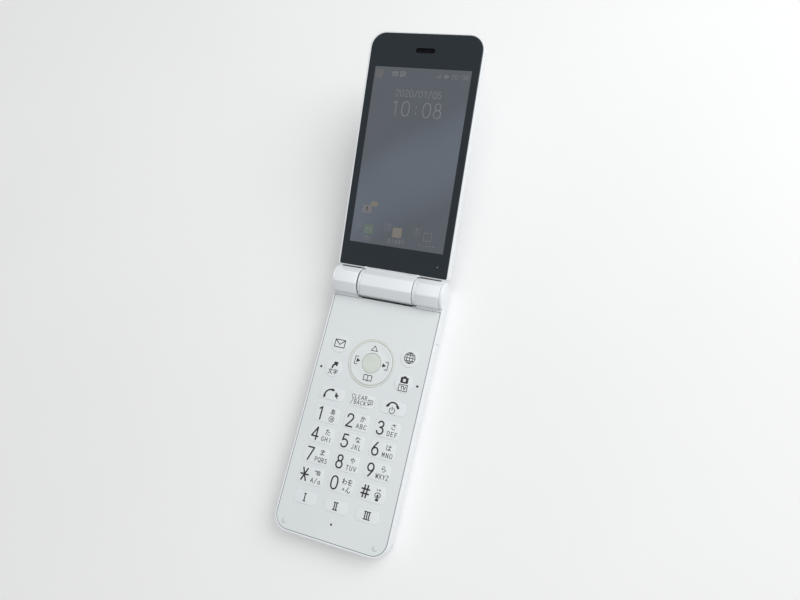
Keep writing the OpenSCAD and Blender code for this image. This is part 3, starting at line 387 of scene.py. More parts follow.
# each lamp looks from its place to the aim: its back axis is their difference, the others are cross products
def makeLamps():
    for name, kind, spot, power, width in lightSet["lamps"]:
        data = bpy.data.lights.new(name, kind)
        data.energy = power
        if kind == "SUN":
            data.angle = math.radians(width)
        else:
            data.shape, data.size = "SQUARE", width
        back = np.array(spot) - lightSet["aim"]
        back /= np.linalg.norm(back)
        side = np.cross((0, 1, 0), back)
        side /= np.linalg.norm(side)
        axes = np.eye(4)
        axes[:3] = np.column_stack([side, np.cross(back, side), back, spot])
        placed(name, data).matrix_world = Matrix(axes.tolist())


# the room's even light, and a plain pale colour where the camera, a gloss or a glass sees the room
def makeRoom():
    world = bpy.data.worlds.new("softRoom")
    bpy.context.scene.world = world
    world.use_nodes = True
    tree = world.node_tree
    lit = tree.nodes["Background"]
    lit.inputs["Color"].default_value = lightSet["skyColour"]
    lit.inputs["Strength"].default_value = lightSet["sky"]
    seen = addNode(tree, "Background", Color=lightSet["seenColour"], Strength=lightSet["seen"])
    path = addNode(tree, "LightPath")
    share = path.outputs["Is Camera Ray"]
    for ray in ("Is Glossy Ray", "Is Transmission Ray"):
        either = addNode(tree, "Math")
        either.operation = "MAXIMUM"
        tree.links.new(share, either.inputs[0])
        tree.links.new(path.outputs[ray], either.inputs[1])
        share = either.outputs[0]
    mix = addNode(tree, "MixShader", Fac=share)
    tree.links.new(lit.outputs[0], mix.inputs[1])
    tree.links.new(seen.outputs[0], mix.inputs[2])
    tree.links.new(mix.outputs[0], tree.nodes["World Output"].inputs["Surface"])
    bpy.context.scene.view_settings.view_transform = "Standard"


floorSet = {"reach": 4.0, "drop": 0.00002}


# one square a hair below the part
def makeFloor():
    reach, height = floorSet["reach"], -floorSet["drop"]
    corners = [(x * reach, y * reach, height) for x, y in ((-1, -1), (1, -1), (1, 1), (-1, 1))]
    mesh = bpy.data.meshes.new("paleFloor")
    mesh.from_pydata(corners, [], [(0, 1, 2, 3)])
    mesh.materials.append(finishes["paleCard"])
    placed("paleFloor", mesh)


makeCamera()
makeLamps()
makeRoom()
makeFloor()
print("camera, light and floor in place")


# upper case with its knuckles
caseLow, caseHigh = boxOf("rear_case")
panelLow, panelHigh = boxOf("keypad_panel")
caseSet = {"cornerR": 6.85, "endR": 1.0, "inside": 0.45, "split": 6.8, "top": panelHigh[2], "rim": 0.77,
           "rimRound": 0.3, "lipRound": 0.13, "ledge": 2.85, "groove": 0.07, "knuckleX": 13.28,
           "seamY": panelHigh[1] + 0.08, "footR": (0.05, 0.6), "footRound": 0.12, "footDrop": 0.01}
octagonSet = {"flat": 5.9, "ridgeRound": 0.9, "endRound": 0.48, "ridgeSteps": 7}
# steps past the facets and along the collar are (inset, distance along X); -1 is the left side, 1 the right
hingeSet = {"facetEnd": 23.5, "facetSteps": [(0.0, -0.2), (0.03, -0.08), (0.12, 0.0), (0.6, 0.0)],
            "endR": 5.78, "endX": 24.95, "endRound": 0.75,
            "endSteps": [(0.6, -0.2), (0.3, -0.02), (0.08, 0.1), (0.0, 0.3)],
            "fillet": 0.7, "filletDrop": 0.012, "filletDeep": 0.2, "filletBack": 0.3, "filletEnd": 0.1,
            "barrelX": 11.6, "collarX": {-1: (11.5, 12.68), 1: (11.85, 13.5)}, "collarR": 5.82,
            "collarRound": 0.26, "collarSteps": [(0.5, 0.0), (0.12, 0.18), (0.0, 0.36)], "hubR": 4.4}


# an octagon about the hinge axis, each ridge an arc tangent to its two flats; inset moves every point inward
def octagonRing(x, inset=0.0):
    rounding, flat = octagonSet["ridgeRound"], octagonSet["flat"]
    turn = np.linspace(-np.pi / 8, np.pi / 8, octagonSet["ridgeSteps"])
    corner = np.pi / 8 + np.arange(8) * np.pi / 4
    centre = (flat - rounding) / math.cos(np.pi / 8)
    angle = corner[:, None] + turn[None, :]
    y = centre * np.cos(corner)[:, None] + (rounding - inset) * np.cos(angle)
    z = centre * np.sin(corner)[:, None] + (rounding - inset) * np.sin(angle)
    return np.stack([np.full(y.size, x), axisY + y.ravel(), axisZ + z.ravel()], 1)


# rings of the octagon along X, drawn in at the ends by the given (inset, x) steps
def octagonBar(steps):
    return loft([octagonRing(x, inset) for inset, x in steps])


# a rounded end of such a bar, from its end face inward
def softEnd(x, way):
    edge = roundEdge(octagonSet["endRound"], 0.0)[::-1]
    return np.column_stack([edge[:, 0], x - way * edge[:, 1]])


# a profile of (radius, distance along X) turned about the hinge axis, on the given side of the middle
def aboutHinge(profile, side, loop=True):
    points, blocks = turned(profile, 0, 0, steps=72, loop=loop)
    return np.column_stack([side * points[:, 2], axisY + points[:, 0], axisZ + points[:, 1]]), blocks


# an outline of (y, z) drawn along X between two places
def drawnAcross(outline, ends):
    return loft([np.column_stack([np.full(len(outline), x), outline]) for x in ends])


# the outer wall's path from one knuckle's back round the free end to the other's, and its outward directions
def wallPath(arcSteps=13):
    half, backY, r, endR = caseHigh[0], caseHigh[1], caseSet["cornerR"], caseSet["endR"]
    turn = np.linspace(0, -0.5 * np.pi, arcSteps)
    free = np.stack([np.cos(turn), np.sin(turn)], 1)
    near = np.stack([np.cos(turn), -np.sin(turn)], 1)[::-1]
    nearArc = [half - endR, backY - endR] + endR * near
    freeArc = [half - r, caseLow[1] + r] + r * free
    side = np.vstack([[caseSet["knuckleX"], backY], nearArc, freeArc])
    out = np.vstack([[0, 1], near, free])
    return np.vstack([side, side[::-1] * [-1, 1]]), np.vstack([out, out[::-1] * [-1, 1]])


# a rim's section of (inset, height): parting groove, outer round, lip round, then down to seat and ledge
def rimSection(sizes, top, seat):
    split, groove, rim, ledge = (sizes[key] for key in ("split", "groove", "rim", "ledge"))
    lip = roundEdge(sizes["lipRound"], top)[::-1] * [-1, 1] + [rim, 0]
    return np.vstack([[groove, split], [0, split + groove], roundEdge(sizes["rimRound"], top), lip,
                      [rim, seat], [ledge, seat], [ledge, split]])


sillSet = {"half": 11.7, "start": 0.2, "deep": 0.57, "rise": 0.08, "corner": 0.05,
           "lipDeep": 0.5, "lipLap": 0.1}


# one knuckle: the foot under it inside the wall, its facets, its round end, the hollow round that leads from
# its front down to the case, and a white lip between the black sill and the knuckle
def knuckle(side):
    top, x0, y0, facetEnd = caseSet["top"], caseSet["knuckleX"], caseSet["seamY"], hingeSet["facetEnd"]
    reach, backY = caseHigh[0] - caseSet["inside"], caseHigh[1] - caseSet["inside"]
    foot = plate((reach - x0) / 2, y0, backY, *caseSet["footR"], side * (reach + x0) / 2)
    footEdge = wallEdge(caseSet["split"], caseSet["footRound"], top - caseSet["footDrop"])
    facets = np.vstack([softEnd(x0, 1), np.array(hingeSet["facetSteps"]) + [0, facetEnd]])
    endEdge = roundEdge(hingeSet["endRound"], hingeSet["endX"], steps=7)
    dome = fromWall(hingeSet["endR"], np.vstack([np.array(hingeSet["endSteps"]) + [0, facetEnd], endEdge]))
    front, r = axisY - octagonSet["flat"], hingeSet["fillet"]
    under, behind = top - hingeSet["filletDeep"], front + hingeSet["filletBack"]
    hollowEdge = roundEdge(r, top - hingeSet["filletDrop"], steps=7, up=-1)
    hollow = np.vstack([fromWall(front, hollowEdge), [front - r, under], [behind, under], [behind, top + r]])
    hollowX = np.array([x0 + octagonSet["endRound"] / 2, facetEnd - hingeSet["filletEnd"]])
    lipX = (sillSet["half"] + x0 + sillSet["lipLap"]) / 2
    lip = plate(lipX - sillSet["half"], y0, y0 + sillSet["lipDeep"], sillSet["corner"], x=side * lipX)
    return [slab(foot, footEdge), octagonBar(facets * [1, side]), aboutHinge(dome, side, False),
            drawnAcross(hollow, side * hollowX), slab(lip, footEdge)]


# the upper case: its rim section along the wall, the knuckles, and the round collar by which the knuckle that
# holds the hinge cartridge reaches to the barrel
def upperCase():
    section = rimSection(caseSet, caseSet["top"], panelLow[2])
    (start, end), r, hub = hingeSet["collarX"][1], hingeSet["collarR"], hingeSet["hubR"]
    edge = roundEdge(hingeSet["collarRound"], start, up=-1)[::-1]
    collar = np.vstack([[hub, start], fromWall(r, edge), [r, end], [hub, end]])
    shells = [carried(*wallPath(), section), *knuckle(-1), *knuckle(1), aboutHinge(collar, 1)]
    piece("upper_case", shells, "caseWhite", "base", ["front_case"])


seamShadeSet = {"lap": 0.02, "wide": 0.30, "drop": 0.10, "endGap": 0.1, "cut": 1.0,
             "stripBack": 0.3, "stripDrop": 0.12, "stripFoot": 0.05, "corner": 0.02}


# painted shade round the faceplate: a dark band below the white edges that darkens the seam, a section along
# the wall and a strip at the hinge
def faceplateSeamShade():
    half, foot, top, rim = caseHigh[0], panelLow[2], caseSet["top"], caseSet["rim"]
    path, outward = wallPath()
    keep = path[:, 1] < caseSet["seamY"] - seamShadeSet["cut"]
    endY = caseSet["seamY"] - seamShadeSet["endGap"]
    edgePath = np.vstack([[half, endY], path[keep], [-half, endY]])
    near, far, high = rim - seamShadeSet["lap"], rim + seamShadeSet["wide"], top - seamShadeSet["drop"]
    section = np.array([[near, foot], [near, high], [far, high], [far, foot]])
    stripY = (panelHigh[1] - seamShadeSet["stripBack"], caseSet["seamY"] + seamShadeSet["lap"])
    strip = plate(half - rim, *stripY, seamShadeSet["corner"])
    shells = [carried(edgePath, np.vstack([[1, 0], outward[keep], [-1, 0]]), section),
              slab(strip, [(0, foot - seamShadeSet["stripFoot"]), (0, top - seamShadeSet["stripDrop"])])]
    piece("faceplate_seam_shade", shells, "sealGrey", "base")


trimSet = {"washerR": (3.4, 5.2), "washerX": {-1: (12.5, 13.4), 1: (11.5, 11.95)}, "stripX": (13.5, 22.6),
           "strip": [(5.27, 3.10), (5.91, 2.42), (5.75, 2.24), (5.09, 2.91)]}


# painted shade at the hinge: a black sill before the barrel, a dark ring at each barrel end and a dark strip
# along each knuckle's upper ridge, set in the gaps that fall into shade under and beside the barrel and below
# the lid
def hingeTrim():
    startY, endY = caseSet["seamY"] + sillSet["start"], caseSet["seamY"] + sillSet["deep"]
    sill = plate(sillSet["half"], startY, endY, sillSet["corner"])
    sillEdge = [(0, caseSet["split"]), (0, caseSet["top"] + sillSet["rise"])]
    piece("hinge_shade_sill", [slab(sill, sillEdge)], "clothBlack", "base")
    r0, r1 = trimSet["washerR"]
    shadeRings = [aboutHinge([(r0, x0), (r1, x0), (r1, x1), (r0, x1)], side)
               for side, (x0, x1) in trimSet["washerX"].items()]
    piece("hinge_shade_rings", shadeRings, "sealGrey", "base")
    strip = np.array(trimSet["strip"]) + lidPlace["axis"]
    strips = [drawnAcross(strip, side * np.array(trimSet["stripX"])) for side in (-1, 1)]
    piece("hinge_shade_strips", strips, "blackPlastic", "base")


capSet = {"r": 3.1, "round": 0.16, "thick": 0.8, "proud": 0.05}


# a disc at each end of the hinge, its rim rounded, turned about the hinge axis
def hingeCaps():
    edge = fromWall(capSet["r"], roundEdge(capSet["round"], caseHigh[0] + capSet["proud"]))
    profile = np.vstack([[capSet["r"], caseHigh[0] - capSet["thick"]], edge])
    discs = [aboutHinge(profile, side, False) for side in (-1, 1)]
    piece("hinge_end_caps", discs, "caseWhite", "base", ["hinge_caps"])


shellSet = {"weld": 2e-6, "flat": 0.3, "sharp": 30, "weight": 60}


# the rear shell: a merged copy of the solid's own mesh with its flat faces joined, so that its openings stay
def rearShell():
    mesh = nodes["rear_case"].data.copy()
    mesh.name = "rear_shell"
    mesh.materials.clear()
    work = bmesh.new()
    work.from_mesh(mesh)
    bmesh.ops.remove_doubles(work, verts=work.verts, dist=shellSet["weld"])
    flat = math.radians(shellSet["flat"])
    bmesh.ops.dissolve_limit(work, angle_limit=flat, verts=work.verts, edges=work.edges)
    work.to_mesh(mesh)
    work.free()
    made = settle("rear_shell", mesh, "caseWhite", "base", ["rear_case"], shellSet["sharp"])
    level = made.modifiers.new("levelFaces", "WEIGHTED_NORMAL")
    level.keep_sharp, level.weight = True, shellSet["weight"]


upperCase()
faceplateSeamShade()
hingeTrim()
hingeCaps()
rearShell()
print("case shells made")


# keypad panel and keys
keyNames = [name for name in nodes if name.startswith("key_") and name != "key_select"]
roundNames = ["key_mail", "key_web", "key_text", "key_camera"]
keySet = {"flange": 0.4, "flangeTop": 8.55, "flangeT": 0.5, "nubR": 1.2, "corner": 1.6, "gap": 0.02,
          "edgeRound": 0.05, "crownR": 84.0, "crownZ": boxOf("key_5")[1][2], "crownEnd": 0.06, "rings": 9}
panelSet = {"r0": 6.0, "r1": 0.8, "edgeRound": 0.10, "edgeGap": 0.12, "holeRound": 0.015, "ringR": 10.22,
            "micR": 0.5, "micY": middleOf("microphone")[1], "tabHalf": 11.7, "tabBack": 0.6, "tabReach": 0.36,
            "tabCorner": 0.1, "tabRound": 0.05, "tabDrop": 0.003}
padSet = {"r": 1.0, "gap": 0.02, "drop": 0.32, "crownEnd": 0.08, "steps": 9}


# a key's outline at its wall: its solid's box less the flange, as a circle or a plate
def keyOutline(name, grow=0.0):
    low, high = boxOf(name)
    x, y = middleOf(name)[:2]
    halfX, halfY = (high - low)[:2] / 2 - keySet["flange"] + grow
    if name in roundNames:
        return circle(x, y, halfX, steps=72)
    return plate(halfX, y - halfY, y + halfY, keySet["corner"] + grow, x=x, side=6)


# height of a key's shallow crown: it falls with the square of the distance from the key's middle
def crownHeight(points, centre):
    away = np.asarray(points)[..., :2] - centre[:2]
    return keySet["crownZ"] - (away ** 2).sum(-1) / (2 * keySet["crownR"])


# the middles of the two pads, one radius in from the ends of their box
def padSpots():
    low, high = boxOf("cushion_pads")
    return [(side * (high[0] - padSet["r"]), (low[1] + high[1]) / 2) for side in (-1, 1)]


# the faceplate: a plate pierced for the keys, the ring, the microphone and the pads, its edges softened
def keypadPanel():
    gap, low, top = panelSet["edgeGap"], panelLow[2], panelHigh[2]
    outline = plate(panelHigh[0] - gap, panelLow[1] + gap, panelHigh[1] - gap / 2,
                    panelSet["r0"] - gap, panelSet["r1"] - gap, arc=12)
    holes = [keyOutline(name, keySet["gap"]) for name in keyNames]
    holes.append(circle(*middleOf("nav_trim")[:2], panelSet["ringR"], steps=120))
    holes.append(circle(0.0, panelSet["micY"], panelSet["micR"], steps=24))
    holes += [circle(x, y, padSet["r"] + padSet["gap"], steps=32) for x, y in padSpots()]
    shells = pierced(outline, holes, wallEdge(low, panelSet["edgeRound"], top, steps=4),
                     wallEdge(low, panelSet["holeRound"], top, steps=3))
    # a shallow tab fills the space before the barrel, a hair below the face so that no two faces meet
    tab = plate(panelSet["tabHalf"], panelHigh[1] - panelSet["tabBack"], panelHigh[1] + panelSet["tabReach"],
                panelSet["tabCorner"])
    shells.append(slab(tab, wallEdge(low, panelSet["tabRound"], top - panelSet["tabDrop"], steps=4)))
    piece("keypad_faceplate", shells, "panelWhite", "base", ["keypad_panel"])


# one key from its nub up: nub, flange, wall, rounded edge, then rings drawn in to the middle of the crown
def keyCap(name):
    low, centre = boxOf(name)[0], middleOf(name)
    outline, spot = keyOutline(name), centre[:2]
    ring, flange = ringOf(outline), ringOf(keyOutline(name, keySet["flange"]))
    away = ring - spot
    nub = spot + keySet["nubR"] * away / np.linalg.norm(away, axis=1)[:, None]
    top, shelf = keySet["flangeTop"], keySet["flangeTop"] - keySet["flangeT"]
    rings = [raised(nub, low[2]), raised(nub, shelf), raised(flange, shelf), raised(flange, top),
             raised(ring, top)]
    for inset, drop in roundEdge(keySet["edgeRound"], 0.0):
        edge = ringOf(outline, inset)
        rings.append(raised(edge, crownHeight(edge, centre) + drop))
    inner = ringOf(outline, keySet["edgeRound"])
    for share in np.linspace(1, keySet["crownEnd"], keySet["rings"])[1:]:
        edge = spot + share * (inner - spot)
        rings.append(raised(edge, crownHeight(edge, centre)))
    piece(name + "_cap", [loft(rings)], "keyWhite", name, [name])


navSet = {"inner": 4.25, "outer": 9.2, "top": boxOf("nav_key")[1][2], "edge": 0.14, "dish": 0.10, "steps": 9,
          "flangeR": 9.8, "flangeT": 0.4, "low": 7.436}
ringSet = {"inner": 9.28, "outer": 10.18, "flangeR": 10.9, "flangeT": 0.35, "edge": 0.22}
selectSet = {"r": 4.14, "flangeR": 4.6, "flangeT": 0.3, "edge": 0.12, "roomR": 2.6, "roomZ": 7.2,
             "roomEnd": 0.1, "crownEnd": 0.2, "steps": 8}


# a flanged ring's profile: flange, outer wall and round, the steps of its face, inner round and inner wall
def flangedRing(sizes, low, top, face=()):
    inner, outer, flangeR, shelf = sizes["inner"], sizes["outer"], sizes["flangeR"], low + sizes["flangeT"]
    edge = roundEdge(sizes["edge"], top)
    return np.vstack([[flangeR, low], [flangeR, shelf], [outer, shelf], fromWall(outer, edge), *face,
                      fromWall(inner, edge, 1), [inner, low]])


# height of the four-way ring's face: it falls with the square of the sine of a radius's share of the way in
def dishHeight(radius):
    start, span = navSet["outer"] - navSet["edge"], navSet["outer"] - navSet["inner"] - 2 * navSet["edge"]
    share = np.clip((start - radius) / span, 0, 1)
    return navSet["top"] - navSet["dish"] * np.sin(np.pi * share) ** 2


# the four-way ring with its dished face, and the fixed ring round it, lipped under the faceplate
def navRings():
    start, end = navSet["outer"] - navSet["edge"], navSet["inner"] + navSet["edge"]
    radii = np.linspace(start, end, navSet["steps"])[1:-1]
    face = np.column_stack([radii, dishHeight(radii)])
    profile = flangedRing(navSet, navSet["low"], navSet["top"], face)
    ring = turned(profile, *middleOf("nav_key")[:2], steps=120)
    piece("nav_ring", [ring], "panelWhite", "nav_key", ["nav_key"])
    low, high = boxOf("nav_trim")
    ring = turned(flangedRing(ringSet, low[2], high[2]), *middleOf("nav_trim")[:2], steps=120)
    piece("nav_trim_ring", [ring], "trimSatin", "base", ["nav_trim"])


# the select key: a flanged button with the keys' shallow crown, hollowed below for its contact
def selectButton():
    low = boxOf("key_select")[0][2]
    r, flangeR, roomR, roomZ = (selectSet[key] for key in ("r", "flangeR", "roomR", "roomZ"))
    edge = roundEdge(selectSet["edge"], 0.0)
    crown = np.linspace(r - selectSet["edge"], selectSet["crownEnd"], selectSet["steps"])[1:]
    radii, drops = np.r_[r - edge[:, 0], crown], np.r_[edge[:, 1], np.zeros(len(crown))]
    heights = keySet["crownZ"] - radii ** 2 / (2 * keySet["crownR"]) + drops
    shelf = low + selectSet["flangeT"]
    profile = np.vstack([[selectSet["roomEnd"], roomZ], [roomR, roomZ], [roomR, low], [flangeR, low],
                         [flangeR, shelf], [r, shelf], np.column_stack([radii, heights])])
    button = turned(profile, *middleOf("key_select")[:2], loop=False)
    piece("select_button", [button], "selectSatin", "key_select", ["key_select"])


# a soft pad: a plug with a domed top, its height falling with the fourth power of the radius
def restPads():
    low, high = boxOf("cushion_pads")
    radii = np.linspace(padSet["r"], padSet["crownEnd"], padSet["steps"])
    crown = high[2] - padSet["drop"] * (radii / padSet["r"]) ** 4
    profile = np.vstack([[padSet["r"], low[2]], np.column_stack([radii, crown])])
    pads = [turned(profile, x, y, steps=40, loop=False) for x, y in padSpots()]
    piece("rest_pads", pads, "padRubber", "base", ["cushion_pads"])


sideSet = {"corner": 0.35, "edge": 0.26, "lap": 0.6, "flange": 0.9, "flangeCorner": 0.3}


# the side key: a rounded bar through the right wall with a flange behind it, drawn upright and laid over
def sideKey():
    low, high = boxOf("side_key")
    lap, shelf = sideSet["lap"], low[0] + sideSet["flange"]
    reach = (high[1] - low[1]) / 2
    bar = plate(reach - lap, low[2] + lap, high[2], sideSet["corner"], arc=6, side=4)
    back = plate(reach, low[2], high[2], sideSet["flangeCorner"], arc=6, side=4)
    rings = [raised(ringOf(back), low[0]), raised(ringOf(back), shelf), raised(ringOf(bar), shelf)]
    rings += [raised(ringOf(bar, inset), height) for inset, height in roundEdge(sideSet["edge"], high[0])]
    points, blocks = loft(rings)
    laid = np.column_stack([points[:, 2], middleOf("side_key")[1] + points[:, 0], points[:, 1]])
    piece("volume_bar", [(laid, blocks)], "caseWhite", "side_key", ["side_key"])


keypadPanel()
for keyName in keyNames:
    keyCap(keyName)
navRings()
selectButton()
restPads()
sideKey()
print("keys made:", len(keyNames) + 3)


# display half
lidSet = {"half": 25.0, "v0": 6.451, "v1": 107.151, "r0": 1.2, "r1": 6.85, "glass": 0.6, "glassBack": -0.3,
          "split": -1.8, "back": -6.4, "rim": 0.62, "lipShare": 0.68, "ledge": 2.6, "rimRound": 0.3,
          "lipRound": 0.12, "groove": 0.07, "backRound": 2.4}
neckSet = {"plates": [(11.5, 3.6), (12.6, 6.2)], "v1": 7.4, "low": -4.4, "drop": 0.05, "round": 0.15,
           "corner": 0.1}
lidOutline = plate(*(lidSet[key] for key in ("half", "v0", "v1", "r0", "r1")), arc=12)


# the bezel: its rim section round the lid's outline, narrower along the hinge side, with neck and barrel
def lidBezel():
    path, top = ringOf(lidOutline), lidSet["glass"]
    outward = path - ringOf(lidOutline, 1.0)
    outward /= np.linalg.norm(outward, axis=1)[:, None]
    share = 1 - (1 - lidSet["lipShare"]) * np.clip(-outward[:, 1:], 0, 1) ** 2
    rings = [raised(path + (ringOf(lidOutline, inset) - path) * share, height)
             for inset, height in rimSection(lidSet, top, lidSet["glassBack"])]
    neckEdge = wallEdge(neckSet["low"], neckSet["round"], top - neckSet["drop"])
    necks = [slab(plate(half, v0, neckSet["v1"], neckSet["corner"]), neckEdge)
             for half, v0 in neckSet["plates"]]
    shells = [(onLid(points), blocks) for points, blocks in [loft(rings, loop=True), *necks]]
    barrelX = hingeSet["barrelX"]
    shells.append(octagonBar(np.vstack([softEnd(-barrelX, 1), softEnd(barrelX, -1)[::-1]])))
    # a round collar at the end that the flat cable passes
    (x0, x1), r, hub = hingeSet["collarX"][-1], hingeSet["collarR"], hingeSet["hubR"]
    edge = np.vstack([np.array(hingeSet["collarSteps"]) + [0, x0], roundEdge(hingeSet["collarRound"], x1)])
    shells.append(aboutHinge(np.vstack([[hub, x0], fromWall(r, edge), [hub, x1]]), -1))
    piece("lid_bezel", shells, "caseWhite", "lid", ["lid_frame"])


windowSet = {"half": 13.0, "v": 41.0, "reach": 4.5, "corner": 2.0, "gap": 0.08, "seatRound": 0.08,
             "deep": 1.8, "round": 0.12}


# the window's outline, grown on every side
def windowPlate(grow):
    v, reach = windowSet["v"], windowSet["reach"] + grow
    return plate(windowSet["half"] + grow, v - reach, v + reach, windowSet["corner"] + grow, arc=6)


# the outer shell: walls from the parting line, a broad round, and a flat back with the window's seat cut in
def lidBack():
    back, split, groove = -lidSet["back"], -lidSet["split"], lidSet["groove"]
    edge = np.vstack([[groove, split], [0, split + groove], roundEdge(lidSet["backRound"], back, steps=10)])
    seatEdge = wallEdge(split, windowSet["seatRound"], back, steps=3)
    shells = pierced(lidOutline, [windowPlate(windowSet["gap"])], edge, seatEdge)
    piece("lid_back", flipped(shells), "caseWhite", "lid", ["lid_cover"], onLid)
    pane = slab(windowPlate(0), wallEdge(back - windowSet["deep"], windowSet["round"], back, steps=4))
    piece("outer_window_glass", flipped([pane]), "glassDark", "lid", ["outer_window"], onLid)


glassSet = {"half": 24.3, "v0": 6.951, "v1": 106.451, "r0": 0.8, "r1": 6.15, "edge": 0.22,
            "screenHalf": 21.15, "screenV0": 17.151, "screenV1": 92.351,
            "slotV": 99.651, "slotHalf": 4.225, "slotR": 1.0, "slotEase": 0.004, "slotRound": 0.1,
            "litDepth": 0.01}


# the cover glass: a plate with a softened edge and the earpiece slot; the lit area has a finish of its own
def coverGlass():
    foot, top, slotV, slotR = lidSet["glassBack"], lidSet["glass"], glassSet["slotV"], glassSet["slotR"]
    outline = plate(*(glassSet[key] for key in ("half", "v0", "v1", "r0", "r1")), arc=14)
    slot = plate(glassSet["slotHalf"], slotV - slotR, slotV + slotR, slotR - glassSet["slotEase"], arc=10)
    half, v0, v1 = glassSet["screenHalf"], glassSet["screenV0"], glassSet["screenV1"]
    screen = np.array([[-half, v0], [half, v0], [half, v1], [-half, v1]])
    shells = pierced(outline, [slot], wallEdge(foot, glassSet["edge"], top),
                     wallEdge(foot, glassSet["slotRound"], top, steps=4), [screen])
    finish = ["glassDark", "screenDim"]
    made = piece("cover_glass_sheet", shells, finish, "lid", ["cover_glass"], onLid)
    # faces of the top land over the lit area, found by their middles turned back to the lid's own places
    middle = np.empty(len(made.data.polygons) * 3)
    made.data.polygons.foreach_get("center", middle)
    x, y, z = (middle.reshape(-1, 3) / mm - [0, axisY, axisZ]).T
    v, above = y * leanCos + z * leanSin, z * leanCos - y * leanSin
    lit = (np.abs(x) < half) & (v > v0) & (v < v1) & (above > top - glassSet["litDepth"])
    made.data.polygons.foreach_set("material_index", lit.astype(np.int32))


clothSet = {"straight": 3.225, "r": 0.97, "reach": 0.94, "low": -0.34, "top": 0.04, "pitch": 0.36,
            "rise": 0.06, "grid": (141, 35)}


# woven earpiece cloth in the slot: height is the product of two sines over a grid with round ends, closed by
# a wall and a back
def earpieceCloth():
    across, along = clothSet["grid"]
    rows = np.linspace(-clothSet["reach"], clothSet["reach"], along)
    share, v = np.meshgrid(np.linspace(-1, 1, across), rows)
    x = share * (clothSet["straight"] + np.sqrt(clothSet["r"] ** 2 - v ** 2))
    wave = 2 * np.pi / clothSet["pitch"]
    h = clothSet["top"] + clothSet["rise"] * np.sin(wave * x) * np.sin(wave * v)
    grid = np.stack([x, v + glassSet["slotV"], h], -1)
    # each row becomes a ring by going back along its foot
    foot = grid[:, ::-1] * [1, 1, 0] + [0, 0, clothSet["low"]]
    cloth = loft(np.concatenate([grid, foot], 1))
    piece("earpiece_cloth", [cloth], "clothBlack", "lid", ["earpiece_mesh"], onLid)


lampSet = {"x": 19.7, "v": 11.451, "foot": -0.1, "dome": [(0.26, 0.004), (0.16, 0.012), (0.03, 0.014)]}


# the status lamp: a dot whose low dome of (radius, height) steps stands over the glass
def lampDot():
    dome = np.array(lampSet["dome"]) + [0, lidSet["glass"]]
    profile = np.vstack([[dome[0, 0], lampSet["foot"]], dome])
    dot = turned(profile, lampSet["x"], lampSet["v"], steps=24, loop=False)
    piece("status_lamp_dot", [dot], "lampClear", "lid", ["status_lamp"], onLid)


lidBezel()
lidBack()
coverGlass()
earpieceCloth()
lampDot()
print("display half made")


# back of the keypad half
coverSet = {"r0": 4.65, "r1": 2.0, "edge": 0.25, "gripHalf": 6.0, "gripY": 2.6, "gripW": 2.2, "gripR": 1.09,
            "gripRound": 0.25, "gripSteps": [(-0.6, -0.4), (-0.35, -0.3)]}


# the battery cover: a plate facing down with softened edges and a shallow thumb pocket near the hinge end
def batteryCover():
    low, high = boxOf("battery_cover")
    face, back, gripEnd = -low[2], -high[2], high[1] - coverSet["gripY"]
    outline = plate(high[0], low[1], high[1], coverSet["r0"], coverSet["r1"], arc=10)
    grip = plate(coverSet["gripHalf"], gripEnd - coverSet["gripW"], gripEnd, coverSet["gripR"])
    pocket = np.array(coverSet["gripSteps"]) + [0, face]
    gripEdge = np.vstack([pocket, roundEdge(coverSet["gripRound"], face)])
    edge = wallEdge(back, coverSet["edge"], face)
    outerWall, gripWall, _, faceLand = pierced(outline, [grip], edge, gripEdge)
    # the pocket has a floor of its own, so the back is a plain land without a hole
    backLand = loft([raised(ringOf(outline), back)], True, False)
    pocketFloor = loft([raised(ringOf(grip, -pocket[0, 0]), pocket[0, 1])], True, False)
    shells = flipped([outerWall, gripWall, backLand, faceLand, pocketFloor])
    piece("battery_door", shells, "caseWhite", "battery_cover", ["battery_cover"])


lensSet = {"r": 3.6, "ring": 0.55, "round": 0.15, "glass": [(3.05, 0.2), (1.6, 0.16), (0.05, 0.15)]}


# the camera window: a metal ring with rounded lips round a dark glass disc of (radius, depth) steps
def cameraWindow():
    low, high = boxOf("camera_window")
    spot, face, back = middleOf("camera_window")[:2], low[2], high[2]
    outer, inner = lensSet["r"], lensSet["r"] - lensSet["ring"]
    edge = roundEdge(lensSet["round"], face, steps=4, up=-1)
    ring = np.vstack([[outer, back], fromWall(outer, edge), fromWall(inner, edge, 1), [inner, back]])
    piece("lens_ring", [turned(ring, *spot, steps=72)], "aluminium", "base")
    glass = np.array(lensSet["glass"]) + [0, face]
    disc = turned(np.vstack([[glass[0, 0], back], glass]), *spot, steps=72, loop=False)
    piece("lens_glass", [disc], "glassDark", "base", ["camera_window"])


batteryCover()
cameraWindow()
print("back of the keypad half made")


